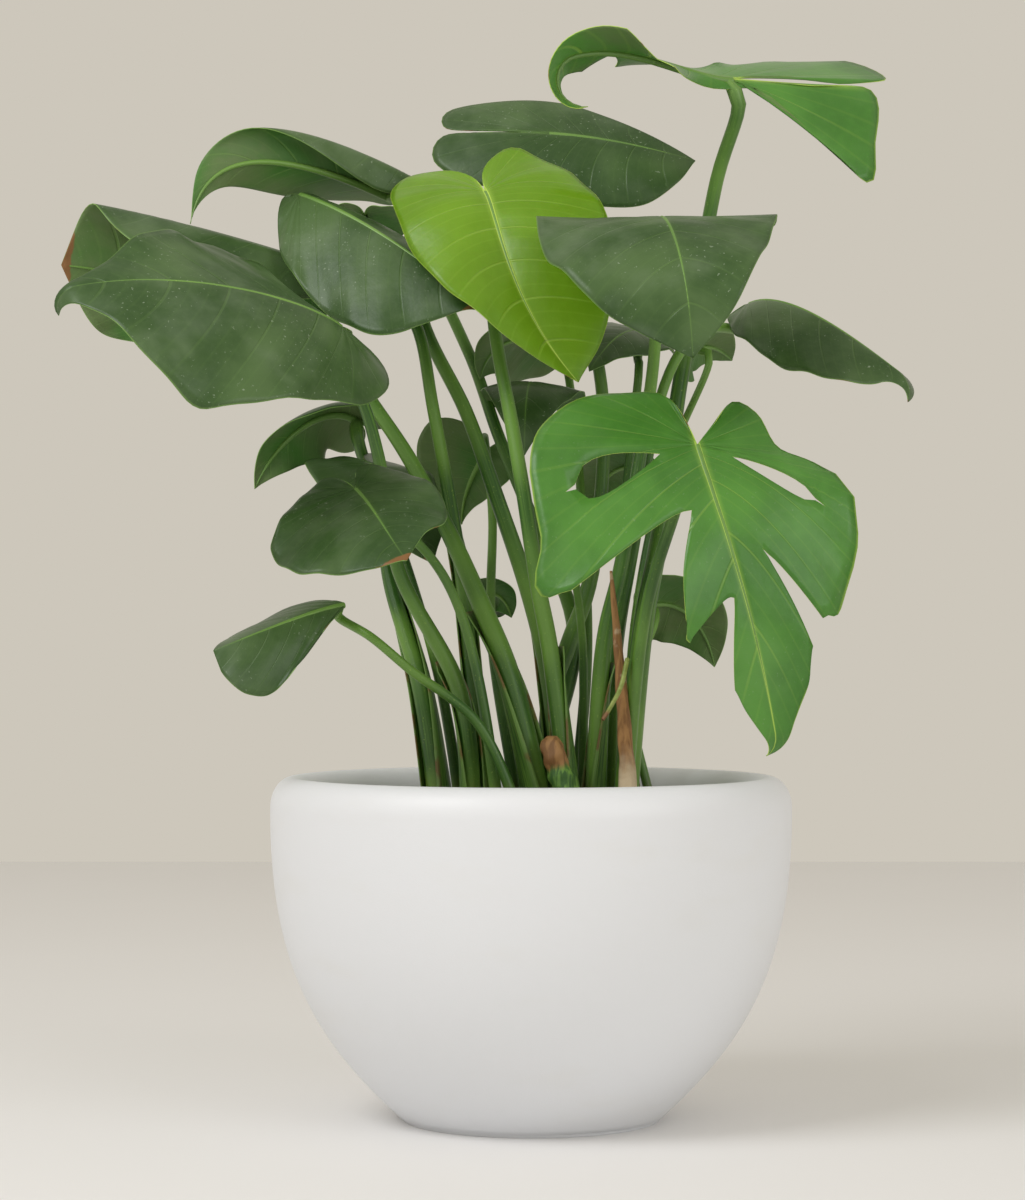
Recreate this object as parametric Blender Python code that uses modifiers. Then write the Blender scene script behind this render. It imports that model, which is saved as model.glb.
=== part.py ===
"""Potted monstera: a turned planter filled with potting mix, the stalks planted in it, and a blade on each.

Metres, +Z up. The origin is the middle of the planter's flat underside, and -Y is the front.
A blade is a loft from its midrib to its margin, given thickness by Solidify.
"""

import bmesh
import bpy
import numpy as np

# Driving dimensions
POT_RADIUS = 0.200
POT_HEIGHT = 0.263
POT_BASE_RADIUS = 0.1015
LIP_HALF_WIDTH = 0.017
LIP_HEIGHT = 0.023
POT_FLOOR = 0.026
POT_STEPS = 32
SOIL_EDGE = 0.222
SOIL_CROWN = 0.230
GAP = 0.0005
BLADE_THICKNESS = 0.001
PLANTING_DEPTH = 0.030
ROOT_RADIUS = 0.002
STALK_POINTS = 8
SOCKET_SIDES = 8

# How a blade is divided: along the midrib, round the lobe behind the stalk, and from midrib to margin
RIB_ROWS = 6
LOBE_ROWS = 3
LOBE_SHARE = 0.45  # the share of the margin that is basal lobe
FAN_SHARE = 0.40  # the share of the margin whose veins all start at the stalk

WHITE = (0.84, 0.84, 0.83)
SOIL_BROWN = (0.055, 0.040, 0.030)
DARK_GREEN = (0.060, 0.120, 0.045)
MID_GREEN = (0.095, 0.205, 0.055)
YOUNG_GREEN = (0.270, 0.480, 0.050)
STALK_GREEN = (0.120, 0.210, 0.060)
BARK_BROWN = (0.240, 0.130, 0.070)
ROOT_GREEN = (0.300, 0.340, 0.080)
LEAF_GREENS = {"dark": DARK_GREEN, "mid": MID_GREEN, "young": YOUNG_GREEN}

PLAIN_LEAF = {
    "colour": "dark",
    "lobe": 0.20,  # how far the lobe runs back past the stalk, as a share of the width
    "belly": 0.17,  # where the blade is widest, as a share of its length
    "full": 0.30,  # how full the blade stays towards its tip
    "left": (0, -20, 0, -20),  # fold and curl in degrees at the stalk, then at the tip; minus is down
    "right": (0, -20, 0, -20),
    "crease": (0, 1),  # the part of the left half, across it, over which its curl is spread
    "back": 10,  # degrees by which the lobe turns down for each blade length behind the stalk
    "drip": (0, 0, 0),  # a long tip: its length, the turn in degrees and how far sideways it turns
    "sweep": (1.3, 1.3),  # how late the veins leave the midrib
    "bow": (0.5, 0.5),  # how much the veins bow towards the stalk
    "ruffle": 0.05,
    "slits_left": (),  # margin share, start and end across the blade, half width
    "slits_right": (),
    "outline_left": (),
    "outline_right": (),
    "columns": 3,  # strips from midrib to margin
}

# Each blade: its midrib's four control points, the way its upper face looks at the stalk and at the tip,
# the widths of its left and right halves, and what differs from a plain leaf
LEAVES = {
    "front_left": {
        "rib": (
            (-0.14, -0.10, 0.60), (-0.17, -0.135, 0.62), (-0.255, -0.175, 0.635),
            (-0.325, -0.185, 0.62),
        ),
        "face": ((0.10, -0.60, 0.80), (0, -0.60, 0.80)),
        "wide": (0.11, 0.095),
        "left": (-5, -35, -5, -30),
        "right": (-15, -10, 15, -5),
        "back": 40,
        "drip": (0.03, 100, 0),
        "outline_left": (
            (0.005, -0.02), (0.025, -0.04), (0.055, -0.03), (0.075, -0.005), (0.085, 0.03), (0.10, 0.06),
            (0.11, 0.11), (0.105, 0.14), (0.07, 0.175), (0.025, 0.205),
        ),
        "outline_right": (
            (0.005, -0.015), (0.03, -0.03), (0.065, 0), (0.085, 0.05), (0.09, 0.10), (0.06, 0.15),
            (0.015, 0.20),
        ),
    },
    "far_left": {
        "rib": ((-0.17, 0.07, 0.62), (-0.21, 0.035, 0.63), (-0.295, 0.01, 0.65), (-0.36, -0.01, 0.655)),
        "face": ((0, 1, 0.10), (0, 1, 0.10)),
        "wide": (0.105, 0.05),
        "left": (0, -160, 10, -120),
        "right": (0, -40, 0, -20),
        "crease": (0.30, 0.62),
        "back": 20,
        "lobe": 0.12,
        "belly": 0.50,
        "full": 1.30,
    },
    "top_left": {
        "rib": ((-0.11, 0.06, 0.715), (-0.16, 0.03, 0.735), (-0.25, 0, 0.765), (-0.26, -0.02, 0.685)),
        "face": ((0, 1, 0.20), (-0.40, 0.90, 0.10)),
        "wide": (0.055, 0.04),
        "left": (0, -160, 10, -100),
        "right": (70, 0, 0, 0),
        "crease": (0.30, 0.65),
        "back": 20,
        "lobe": 0.10,
        "belly": 0.15,
        "full": 0,
    },
    "dark_left": {
        "rib": ((-0.18, 0.03, 0.715), (-0.145, 0, 0.70), (-0.09, -0.04, 0.665), (-0.04, -0.065, 0.615)),
        "face": ((-0.10, -0.80, 0.50), (-0.10, -0.80, 0.50)),
        "wide": (0.05, 0.075),
        "left": (-40, -50, -30, -30),
        "right": (0, -25, 0, -10),
        "back": 30,
        "lobe": 0.03,
        "belly": 0.35,
        "full": 0.60,
        "outline_right": (
            (0.01, -0.01), (0.04, 0.01), (0.06, 0.04), (0.075, 0.095), (0.07, 0.155), (0.04, 0.175),
            (0.01, 0.19),
        ),
    },
    "young": {
        "colour": "young",
        "rib": (
            (-0.035, -0.02, 0.71), (-0.025, -0.05, 0.69), (-0.02, -0.085, 0.62), (0.035, -0.075, 0.56),
        ),
        "face": ((0, -0.90, 0.45), (0, -0.90, 0.45)),
        "wide": (0.085, 0.075),
        "left": (18, -45, 10, -20),
        "right": (18, -45, 10, -20),
        "outline_left": (
            (0.005, -0.025), (0.02, -0.04), (0.04, -0.04), (0.07, 0), (0.085, 0.05), (0.075, 0.10),
            (0.06, 0.14), (0.035, 0.17),
        ),
        "outline_right": (
            (0.005, -0.025), (0.03, -0.05), (0.055, -0.05), (0.07, -0.03), (0.07, 0.035),
            (0.055, 0.08), (0.035, 0.11), (0.015, 0.15),
        ),
    },
    "top_back": {
        "rib": ((0.015, 0.08, 0.77), (0.055, 0.075, 0.767), (0.095, 0.07, 0.757), (0.13, 0.06, 0.745)),
        "face": ((0, -0.75, 0.65), (0, -0.75, 0.65)),
        "wide": (0.045, 0.06),
        "ruffle": 0,
        "left": (0, -15, 0, -15),
        "right": (0, -35, 0, -45),
        "outline_left": (
            (0.001, -0.05), (0.005, -0.085), (0.03, -0.085), (0.045, -0.04), (0.045, 0), (0.03, 0.04),
            (0.015, 0.08),
        ),
        "outline_right": (
            (0.001, -0.05), (0.005, -0.085), (0.03, -0.09), (0.05, -0.06), (0.055, -0.02), (0.06, 0.02),
            (0.06, 0.06), (0.05, 0.095), (0.025, 0.115),
        ),
    },
    "dark_right": {
        "rib": ((0.095, -0.06, 0.68), (0.095, -0.10, 0.695), (0.11, -0.20, 0.65), (0.115, -0.17, 0.57)),
        "face": ((0, -0.20, 1), (0, -1, 0.10)),
        "wide": (0.085, 0.095),
        "left": (0, -5, 0, -10),
        "right": (0, -5, 0, -10),
        "back": 20,
        "outline_left": (
            (0.005, -0.01), (0.03, -0.03), (0.065, -0.02), (0.085, 0.01), (0.085, 0.04), (0.07, 0.09),
            (0.05, 0.13), (0.03, 0.16),
        ),
        "outline_right": (
            (0.005, -0.005), (0.03, -0.01), (0.07, -0.005), (0.09, 0.015), (0.095, 0.045), (0.095, 0.08),
            (0.085, 0.11), (0.065, 0.145), (0.035, 0.17),
        ),
    },
    "right": {
        "rib": ((0.17, 0.03, 0.63), (0.195, 0, 0.64), (0.24, -0.04, 0.60), (0.275, -0.06, 0.57)),
        "face": ((0.20, -0.60, 0.75), (0.20, -0.60, 0.75)),
        "wide": (0.05, 0.06),
        "left": (-42, -50, -30, -40),
        "right": (-5, -25, -5, -20),
        "back": 40,
        "lobe": 0.05,
        "belly": 0.30,
        "full": 0.50,
        "drip": (0.03, 60, 60),
        "outline_right": (
            (0.025, -0.005), (0.055, 0.035), (0.06, 0.08), (0.055, 0.11), (0.045, 0.135),
            (0.01, 0.165),
        ),
    },
    "split_top": {
        "colour": "mid",
        "columns": 4,
        "rib": ((0.155, 0, 0.80), (0.12, -0.01, 0.80), (0.075, -0.03, 0.825), (0.03, -0.04, 0.81)),
        "face": ((0, -0.05, 1), (0, 0, 1)),
        "wide": (0.085, 0.08),
        "left": (-50, -25, 60, 30),
        "right": (25, -10, -30, -40),
        "back": 3,
        "sweep": (2.40, 1.60),
        "drip": (0.06, 170, 0),
        "outline_left": (
            (0.005, -0.06), (0.005, -0.115), (0.05, -0.11), (0.085, -0.10), (0.04, -0.045),
            (0.01, -0.015), (0.015, 0.03), (0.05, 0.07), (0.05, 0.10), (0.02, 0.145),
        ),
        "outline_right": (
            (0.01, -0.04), (0.02, -0.10), (0.035, -0.14), (0.07, -0.125), (0.08, -0.06), (0.055, -0.01),
            (0.06, 0.04), (0.05, 0.09), (0.03, 0.13),
        ),
        "slits_left": ((0.78, 0.25, 1, 0.04),),
        "slits_right": ((0.64, 0.25, 1, 0.05), (0.80, 0.25, 1, 0.04)),
    },
    "split_front": {
        "colour": "mid",
        "columns": 4,
        "rib": ((0.12, -0.14, 0.51), (0.13, -0.17, 0.47), (0.155, -0.19, 0.405), (0.175, -0.16, 0.30)),
        "face": ((0.10, -0.95, 0.30), (0.10, -0.95, 0.30)),
        "wide": (0.105, 0.15),
        "left": (0, -10, 0, -10),
        "right": (5, -15, 5, -10),
        "back": 20,
        "sweep": (3.00, 2.40),
        "bow": (1.50, 0.35),
        "drip": (0.02, 60, 50),
        "outline_left": (
            (0.015, -0.015), (0.035, -0.035), (0.05, -0.02), (0.06, 0.01), (0.085, 0.035),
            (0.10, 0.065), (0.09, 0.115), (0.06, 0.16), (0.035, 0.19),
        ),
        "outline_right": (
            (0.01, -0.045), (0.035, -0.06), (0.065, -0.065), (0.105, -0.04), (0.125, 0),
            (0.13, 0.045), (0.14, 0.085), (0.065, 0.125), (0.03, 0.18),
        ),
        "slits_left": ((0.54, 0.25, 0.75, 0.035), (0.77, 0.50, 1, 0.03)),
        "slits_right": ((0.44, 0.25, 0.75, 0.05), (0.68, 0.25, 1, 0.085), (0.83, 0.25, 1, 0.05)),
    },
    "heart_low": {
        "rib": (
            (-0.13, -0.10, 0.48), (-0.115, -0.125, 0.465), (-0.105, -0.15, 0.445), (-0.09, -0.17, 0.425),
        ),
        "face": ((-0.10, -0.60, 0.80), (-0.10, -0.65, 0.75)),
        "wide": (0.055, 0.08),
        "back": 5,
        "outline_left": (
            (0.01, -0.02), (0.02, -0.025), (0.04, -0.015), (0.055, 0.025), (0.045, 0.065), (0.02, 0.08),
        ),
        "outline_right": (
            (0.005, -0.02), (0.015, -0.03), (0.03, -0.025), (0.07, 0.005), (0.08, 0.025), (0.075, 0.06),
            (0.06, 0.075), (0.025, 0.09),
        ),
    },
    "low_left": {
        "rib": (
            (-0.14, -0.06, 0.395), (-0.165, -0.08, 0.39), (-0.205, -0.10, 0.372), (-0.235, -0.10, 0.36),
        ),
        "face": ((0.10, -0.85, 0.40), (0.10, -0.85, 0.40)),
        "wide": (0.045, 0.04),
        "left": (-5, -30, 0, -20),
        "right": (-35, -30, -50, -30),
        "lobe": 0,
        "belly": 0.60,
        "full": 1.30,
        "outline_left": (
            (0.005, 0.005), (0.015, 0.025), (0.03, 0.05), (0.045, 0.08), (0.04, 0.10), (0.02, 0.11),
        ),
    },
    "curled_left": {
        "rib": ((-0.135, 0.08, 0.54), (-0.155, 0.07, 0.56), (-0.195, 0.04, 0.535), (-0.215, 0.03, 0.485)),
        "face": ((0.10, 0.70, 0.70), (0.10, 0.70, 0.70)),
        "wide": (0.04, 0.04),
        "left": (0, -60, 0, -120),
        "right": (0, -30, 0, -60),
        "back": 20,
    },
    "behind_heart": {
        "rib": ((-0.125, 0.035, 0.505), (-0.115, 0.02, 0.50), (-0.09, 0.005, 0.46), (-0.075, 0, 0.425)),
        "face": ((0.30, -0.50, 0.80), (0.30, -0.50, 0.80)),
        "wide": (0.055, 0.055),
        "lobe": 0.30,
    },
    "pale_mid": {
        "rib": ((-0.035, 0.13, 0.52), (-0.04, 0.13, 0.51), (-0.055, 0.125, 0.49), (-0.055, 0.115, 0.46)),
        "face": ((0.30, 1, 0.10), (0.30, 1, 0.10)),
        "wide": (0.055, 0.03),
        "lobe": 0.15,
        "full": 0.10,
    },
    "small_dark": {
        "rib": ((0.005, 0.09, 0.56), (0, 0.05, 0.585), (-0.005, 0.01, 0.565), (-0.005, 0.01, 0.51)),
        "face": ((0, -0.20, 1), (0, -1, 0.20)),
        "wide": (0.042, 0.042),
        "back": 20,
    },
    "back_mid": {
        "rib": ((0.02, 0.14, 0.61), (-0.005, 0.12, 0.615), (-0.035, 0.10, 0.61), (-0.04, 0.09, 0.575)),
        "face": ((0, 0.60, 0.70), (0, 0.60, 0.70)),
        "wide": (0.05, 0.05),
    },
    "back_right": {
        "rib": ((0.09, 0.06, 0.61), (0.075, 0.04, 0.615), (0.06, 0.02, 0.60), (0.045, 0.01, 0.575)),
        "face": ((0, -0.50, 0.80), (0, -0.50, 0.80)),
        "wide": (0.038, 0.038),
    },
    "back_small": {
        "rib": ((0.13, 0.12, 0.60), (0.14, 0.13, 0.61), (0.155, 0.14, 0.605), (0.165, 0.15, 0.595)),
        "face": ((0, 0.70, 0.70), (0, 0.70, 0.70)),
        "wide": (0.03, 0.03),
    },
    "behind_split": {
        "rib": ((0.09, 0.12, 0.505), (0.075, 0.13, 0.515), (0.055, 0.15, 0.50), (0.05, 0.16, 0.475)),
        "face": ((0, 0.70, 0.70), (0, 0.70, 0.70)),
        "wide": (0.04, 0.04),
    },
    "low_right": {
        "rib": ((0.095, 0.12, 0.395), (0.12, 0.13, 0.405), (0.145, 0.14, 0.38), (0.15, 0.14, 0.345)),
        "face": ((0, 0.70, 0.70), (0, 0.70, 0.70)),
        "wide": (0.04, 0.04),
    },
    "low_mid": {
        "rib": ((-0.04, 0.10, 0.40), (-0.03, 0.09, 0.41), (-0.02, 0.08, 0.405), (-0.015, 0.08, 0.385)),
        "face": ((0, 0.70, 0.70), (0, 0.70, 0.70)),
        "wide": (0.025, 0.025),
    },
    "upper_back": {
        "rib": ((-0.135, 0.15, 0.715), (-0.135, 0.17, 0.71), (-0.13, 0.18, 0.695), (-0.125, 0.18, 0.675)),
        "face": ((0, 0.70, 0.70), (0, 0.70, 0.70)),
        "wide": (0.04, 0.04),
        "lobe": 0.30,
    },
}

# Each stalk: where it stands in the soil, its radii at foot and blade, and the points that it passes
STALKS = {
    "front_left": {
        "root": (-0.045, -0.02),
        "radii": (0.008, 0.0045),
        "through": (
            (-0.055, -0.03, 0.33), (-0.10, -0.035, 0.42), (-0.115, -0.04, 0.505),
            (-0.13, -0.06, 0.555),
        ),
    },
    "far_left": {
        "root": (0.006, -0.03),
        "radii": (0.011, 0.005),
        "through": (
            (-0.015, -0.035, 0.335), (-0.04, -0.03, 0.40), (-0.065, -0.02, 0.455), (-0.095, 0, 0.51),
            (-0.125, 0.01, 0.555), (-0.15, 0.03, 0.595),
        ),
    },
    "curled_left": {
        "root": (-0.07, 0.015),
        "radii": (0.01, 0.005),
        "through": ((-0.085, 0.035, 0.33), (-0.11, 0.075, 0.41), (-0.12, 0.10, 0.47)),
    },
    "behind_heart": {
        "root": (-0.055, 0.045),
        "radii": (0.005, 0.0035),
        "through": ((-0.07, 0.045, 0.33), (-0.09, 0.04, 0.405), (-0.11, 0.045, 0.46)),
    },
    "heart_low": {
        "root": (-0.025, -0.045),
        "radii": (0.005, 0.0035),
        "through": ((-0.04, -0.05, 0.34), (-0.06, -0.055, 0.405), (-0.09, -0.075, 0.445)),
    },
    "low_left": {
        "root": (-0.01, -0.06),
        "radii": (0.0045, 0.0035),
        "through": ((-0.04, -0.06, 0.305), (-0.09, -0.06, 0.345), (-0.12, -0.06, 0.37)),
    },
    "dark_left": {
        "root": (-0.035, 0.015),
        "radii": (0.007, 0.0045),
        "through": (
            (-0.045, 0.01, 0.33), (-0.055, 0.01, 0.43), (-0.075, 0.01, 0.545), (-0.09, 0.025, 0.615),
            (-0.13, 0.045, 0.67),
        ),
    },
    "top_left": {
        "root": (0.026, 0.005),
        "radii": (0.009, 0.005),
        "through": (
            (0.015, 0.005, 0.335), (0, 0.01, 0.40), (-0.025, 0.02, 0.475), (-0.05, 0.03, 0.545),
            (-0.085, 0.04, 0.62),
        ),
    },
    "upper_back": {
        "root": (0, 0.07),
        "radii": (0.007, 0.0045),
        "through": (
            (0.035, 0.07, 0.365), (0.005, 0.08, 0.455), (-0.025, 0.09, 0.53), (-0.05, 0.11, 0.60),
            (-0.09, 0.13, 0.675),
        ),
    },
    "young": {
        "root": (0.03, -0.035),
        "radii": (0.008, 0.005),
        "through": (
            (0.015, -0.035, 0.355), (0.005, -0.04, 0.41), (-0.005, -0.04, 0.475),
            (-0.015, -0.025, 0.535), (-0.028, -0.005, 0.61),
        ),
    },
    "top_back": {
        "root": (0.012, 0.045),
        "radii": (0.008, 0.0045),
        "through": (
            (0.015, 0.045, 0.32), (0.03, 0.05, 0.365), (0.05, 0.06, 0.43), (0.058, 0.08, 0.555),
            (0.035, 0.07, 0.665),
        ),
    },
    "dark_right": {
        "root": (0.048, -0.02),
        "radii": (0.008, 0.0045),
        "through": ((0.055, -0.02, 0.36), (0.07, -0.02, 0.43), (0.09, -0.02, 0.55), (0.095, -0.04, 0.61)),
    },
    "back_right": {
        "root": (0.055, 0.045),
        "radii": (0.005, 0.0035),
        "through": ((0.065, 0.05, 0.365), (0.075, 0.06, 0.48), (0.085, 0.055, 0.575)),
    },
    "right": {
        "root": (0.062, 0.01),
        "radii": (0.006, 0.004),
        "through": ((0.065, 0.005, 0.35), (0.08, -0.005, 0.445), (0.10, -0.005, 0.555), (0.13, 0, 0.605)),
    },
    "split_top": {
        "root": (0.072, -0.015),
        "radii": (0.0095, 0.0055),
        "through": (
            (0.085, -0.01, 0.37), (0.10, 0.01, 0.45), (0.115, 0.04, 0.555), (0.13, 0.045, 0.64),
            (0.145, 0.03, 0.725),
        ),
    },
    "split_front": {
        "root": (0.07, -0.042),
        "radii": (0.006, 0.0045),
        "through": ((0.078, -0.05, 0.33), (0.088, -0.065, 0.40), (0.105, -0.10, 0.46)),
    },
    "small_dark": {
        "root": (0.04, 0.025),
        "radii": (0.004, 0.003),
        "through": ((0.04, 0.025, 0.37), (0.025, 0.03, 0.46)),
    },
    "back_mid": {
        "root": (0.035, 0.06),
        "radii": (0.005, 0.0035),
        "through": ((0.045, 0.065, 0.365), (0.04, 0.105, 0.495)),
    },
    "back_small": {
        "root": (0.078, 0.042),
        "radii": (0.004, 0.003),
        "through": ((0.08, 0.05, 0.365), (0.105, 0.08, 0.495)),
    },
    "pale_mid": {
        "root": (-0.01, 0.04),
        "radii": (0.005, 0.0035),
        "through": ((-0.03, 0.05, 0.365), (-0.03, 0.085, 0.465)),
    },
    "behind_split": {
        "root": (0.06, 0.08),
        "radii": (0.004, 0.003),
        "through": ((0.07, 0.09, 0.365), (0.08, 0.10, 0.445)),
    },
    "low_right": {
        "root": (0.095, 0.065),
        "radii": (0.004, 0.003),
        "through": ((0.08, 0.08, 0.32),),
    },
    "low_mid": {
        "root": (-0.03, 0.06),
        "radii": (0.004, 0.003),
        "through": ((-0.04, 0.065, 0.335),),
    },
}

# What else stands among the stalks, given in the same way, and the centre line of the root from the bottom up
STUMP = {
    "root": (0.030, -0.062),
    "radii": (0.011, 0.009),
    "through": ((0.022, -0.060, 0.265), (0.012, -0.058, 0.296)),
}
OLD_SHEATH = {
    "root": (0.073, -0.070),
    "radii": (0.008, 0.0015),
    "through": ((0.071, -0.064, 0.272), (0.066, -0.048, 0.350), (0.060, -0.042, 0.420)),
}
AERIAL_ROOT = (
    (0.053, -0.075, 0.3085), (0.058, -0.072, 0.316), (0.067, -0.064, 0.333), (0.0725, -0.056, 0.355),
)


def clear_scene():
    for item in list(bpy.data.objects):
        bpy.data.objects.remove(item, do_unlink=True)


def collection(name):
    made = bpy.data.collections.new(name)
    bpy.context.scene.collection.children.link(made)
    return made


def material(name, colour, roughness):
    made = bpy.data.materials.new(name)
    made.use_nodes = True
    shader = made.node_tree.nodes["Principled BSDF"]
    shader.inputs["Base Color"].default_value = (*colour, 1)
    shader.inputs["Roughness"].default_value = roughness
    shader.inputs["Metallic"].default_value = 0
    made.diffuse_color = (*colour, 1)
    return made


def unit(v):
    return v / np.linalg.norm(v, axis=-1, keepdims=True)


def bezier(points, t):
    """Points on a cubic Bezier curve."""
    a, b, c, d = (np.asarray(p, float) for p in points)
    t = np.asarray(t, float)[..., None]
    return (1 - t) ** 3 * a + 3 * (1 - t) ** 2 * t * b + 3 * (1 - t) * t**2 * c + t**3 * d


def smooth_through(points, share):
    """Catmull-Rom curve through the points, at a share of its chord length."""
    p = np.asarray(points, float)
    chords = np.linalg.norm(np.diff(p, axis=0), axis=1)
    at = np.concatenate([[0], np.cumsum(chords)]) / chords.sum()
    share = np.asarray(share, float)
    i = np.clip(np.searchsorted(at, share, side="right") - 1, 0, len(p) - 2)
    u = ((share - at[i]) / (at[i + 1] - at[i]))[..., None]
    padded = np.vstack([2 * p[0] - p[1], p, 2 * p[-1] - p[-2]])
    a, b, c, d = padded[i], padded[i + 1], padded[i + 2], padded[i + 3]
    square, cube = 2 * a - 5 * b + 4 * c - d, 3 * b - a - 3 * c + d
    return 0.5 * (2 * b + (c - a) * u + square * u**2 + cube * u**3)


def of_half(value, side):
    """A blade's value for its left half (side -1) or its right half (side 1)."""
    return value[(side + 1) // 2] if isinstance(value, tuple) else value


class Blade:
    """One leaf blade as a surface over (t, s): t runs round its margin, s from its midrib to its margin."""

    def __init__(self, changes):
        self.spec = {**PLAIN_LEAF, **changes}
        line = bezier(self.spec["rib"], np.linspace(0, 1, 61))
        face, tip_face = (np.asarray(v, float) for v in self.spec["face"])
        line = np.vstack([line, self.drip_tip(line, tip_face)])
        steps = np.linalg.norm(np.diff(line, axis=0), axis=1)
        self.line = line
        self.arc = np.concatenate([[0], np.cumsum(steps)])
        self.length = self.arc[-1]
        self.along = unit(np.gradient(line, self.arc, axis=0))
        k = (self.arc / self.length)[:, None]
        k = k * k * (3 - 2 * k)
        looks = face * (1 - k) + tip_face * k
        self.up = unit(looks - (looks * self.along).sum(-1, keepdims=True) * self.along)
        for i in range(61, len(line)):
            carried = self.up[i - 1] - (self.up[i - 1] @ self.along[i]) * self.along[i]
            self.up[i] = unit(carried)

    def drip_tip(self, line, tip_face):
        """The long tip, which turns on past the end of the midrib."""
        length, turn, sideways = self.spec["drip"]
        if length == 0:
            return np.empty((0, 3))
        ahead = unit(line[-1] - line[-2])
        up = unit(tip_face - (tip_face @ ahead) * ahead)
        aside = np.cross(ahead, up)
        towards = aside * np.sin(np.radians(sideways)) - up * np.cos(np.radians(sideways))
        angles = np.radians(turn) * np.arange(1, 13)[:, None] / 12
        steps = np.cos(angles) * ahead + np.sin(angles) * towards
        return line[-1] + np.cumsum(steps, axis=0) * length / 12

    def frame(self, y):
        """Centre, upward and sideways directions at distance y along the midrib, negative in the lobes."""
        at = np.clip(y, 0, self.length)

        def read(table):
            return np.stack([np.interp(at, self.arc, table[:, i]) for i in range(3)], -1)

        centre, along, up = read(self.line), unit(read(self.along)), unit(read(self.up))
        aside = unit(np.cross(along, up))
        bend = np.radians(self.spec["back"]) / self.length
        turned = (-np.minimum(y, 0) * bend)[..., None]
        centre = centre - (np.sin(turned) * along + (1 - np.cos(turned)) * up) / bend
        return centre, up * np.cos(turned) - along * np.sin(turned), aside

    def margin(self, t, side):
        """The flat outline: distance across and distance along."""
        own = self.spec["outline_left" if side < 0 else "outline_right"]
        if own:
            return smooth_through([(0, 0), *own, (0, self.length)], t)
        half = of_half(self.spec["wide"], side)
        reach = of_half(self.spec["lobe"], side) * sum(self.spec["wide"])
        belly = of_half(self.spec["belly"], side) * self.length
        full = of_half(self.spec["full"], side)
        lobe = ((0, 0), (0.03 * half, -1.3 * reach), (half, -1.7 * reach), (half, belly))
        shoulder = (half, belly + 0.35 * self.length)
        front = (lobe[-1], shoulder, (full * half, 0.82 * self.length), (0, self.length))
        round_lobe = bezier(lobe, np.clip(t / LOBE_SHARE, 0, 1))
        to_tip = bezier(front, np.clip((t - LOBE_SHARE) / (1 - LOBE_SHARE), 0, 1))
        return np.where((t < LOBE_SHARE)[..., None], round_lobe, to_tip)

    def vein_start(self, t, side):
        """How far along the midrib the vein that ends at margin share t begins."""
        past_fan = np.clip((t - FAN_SHARE) / (1 - FAN_SHARE), 0, 1)
        return self.length * past_fan ** of_half(self.spec["sweep"], side)

    def vein_at(self, y, side):
        """The margin share whose vein begins at distance y."""
        return FAN_SHARE + (1 - FAN_SHARE) * (y / self.length) ** (1 / of_half(self.spec["sweep"], side))

    def point(self, t, s, side):
        """The point of the folded and curled blade at (t, s)."""
        edge = self.margin(t, side)
        start = self.vein_start(t, side)
        past_fan = np.clip((t - FAN_SHARE) / FAN_SHARE, 0, 1)
        bow = of_half(self.spec["bow"], side) * s * (1 - s) * edge[..., 0] * past_fan
        x = s * edge[..., 0]
        y = start + s * (edge[..., 1] - start) - bow
        centre, up, aside = self.frame(y)
        across, lift = self.bent(x, np.clip(y / self.length, 0, 1), side)
        wave = np.sin(2 * np.pi * (3 * t + 0.17 * side)) * s**3 * np.sqrt(np.clip(np.sin(np.pi * t), 0, 1))
        lift = lift + self.spec["ruffle"] * of_half(self.spec["wide"], side) * wave
        return centre + side * across[..., None] * aside + lift[..., None] * up

    def bent(self, x, k, side):
        """Across and up at distance x from the midrib, at share k of its length."""
        fold_a, curl_a, fold_b, curl_b = np.radians(self.spec["left" if side < 0 else "right"])
        fold = fold_a * (1 - k) + fold_b * k
        curl = curl_a * (1 - k) + curl_b * k
        half = of_half(self.spec["wide"], side)
        first, last = (half * share for share in (self.spec["crease"] if side < 0 else (0, 1)))
        bend = np.where(np.abs(curl) < 1e-3, 1e-3, curl) / (last - first)
        flat, rest = np.minimum(x, first), np.maximum(x - last, 0)
        turning = np.clip(x - first, 0, last - first)
        ends = fold + bend * turning
        across = flat * np.cos(fold) + (np.sin(ends) - np.sin(fold)) / bend + rest * np.cos(ends)
        lift = flat * np.sin(fold) + (np.cos(fold) - np.cos(ends)) / bend + rest * np.sin(ends)
        return across, lift

    def slits(self, side):
        return sorted(self.spec["slits_left" if side < 0 else "slits_right"])

    def rib_stations(self):
        """Distances along the midrib where both halves have a row, with one at each slit's vein."""
        slits = [(slit[0], side) for side in (-1, 1) for slit in self.slits(side)]
        slit_starts = [float(self.vein_start(t, side)) for t, side in slits]
        apart = 0.4 * self.length / RIB_ROWS
        even = np.linspace(0, self.length, RIB_ROWS + 1)
        kept = [y for y in even[1:-1] if all(abs(y - start) > apart for start in slit_starts)]
        return sorted([0, self.length, *kept, *(y for y in slit_starts if y > 0)])

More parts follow.
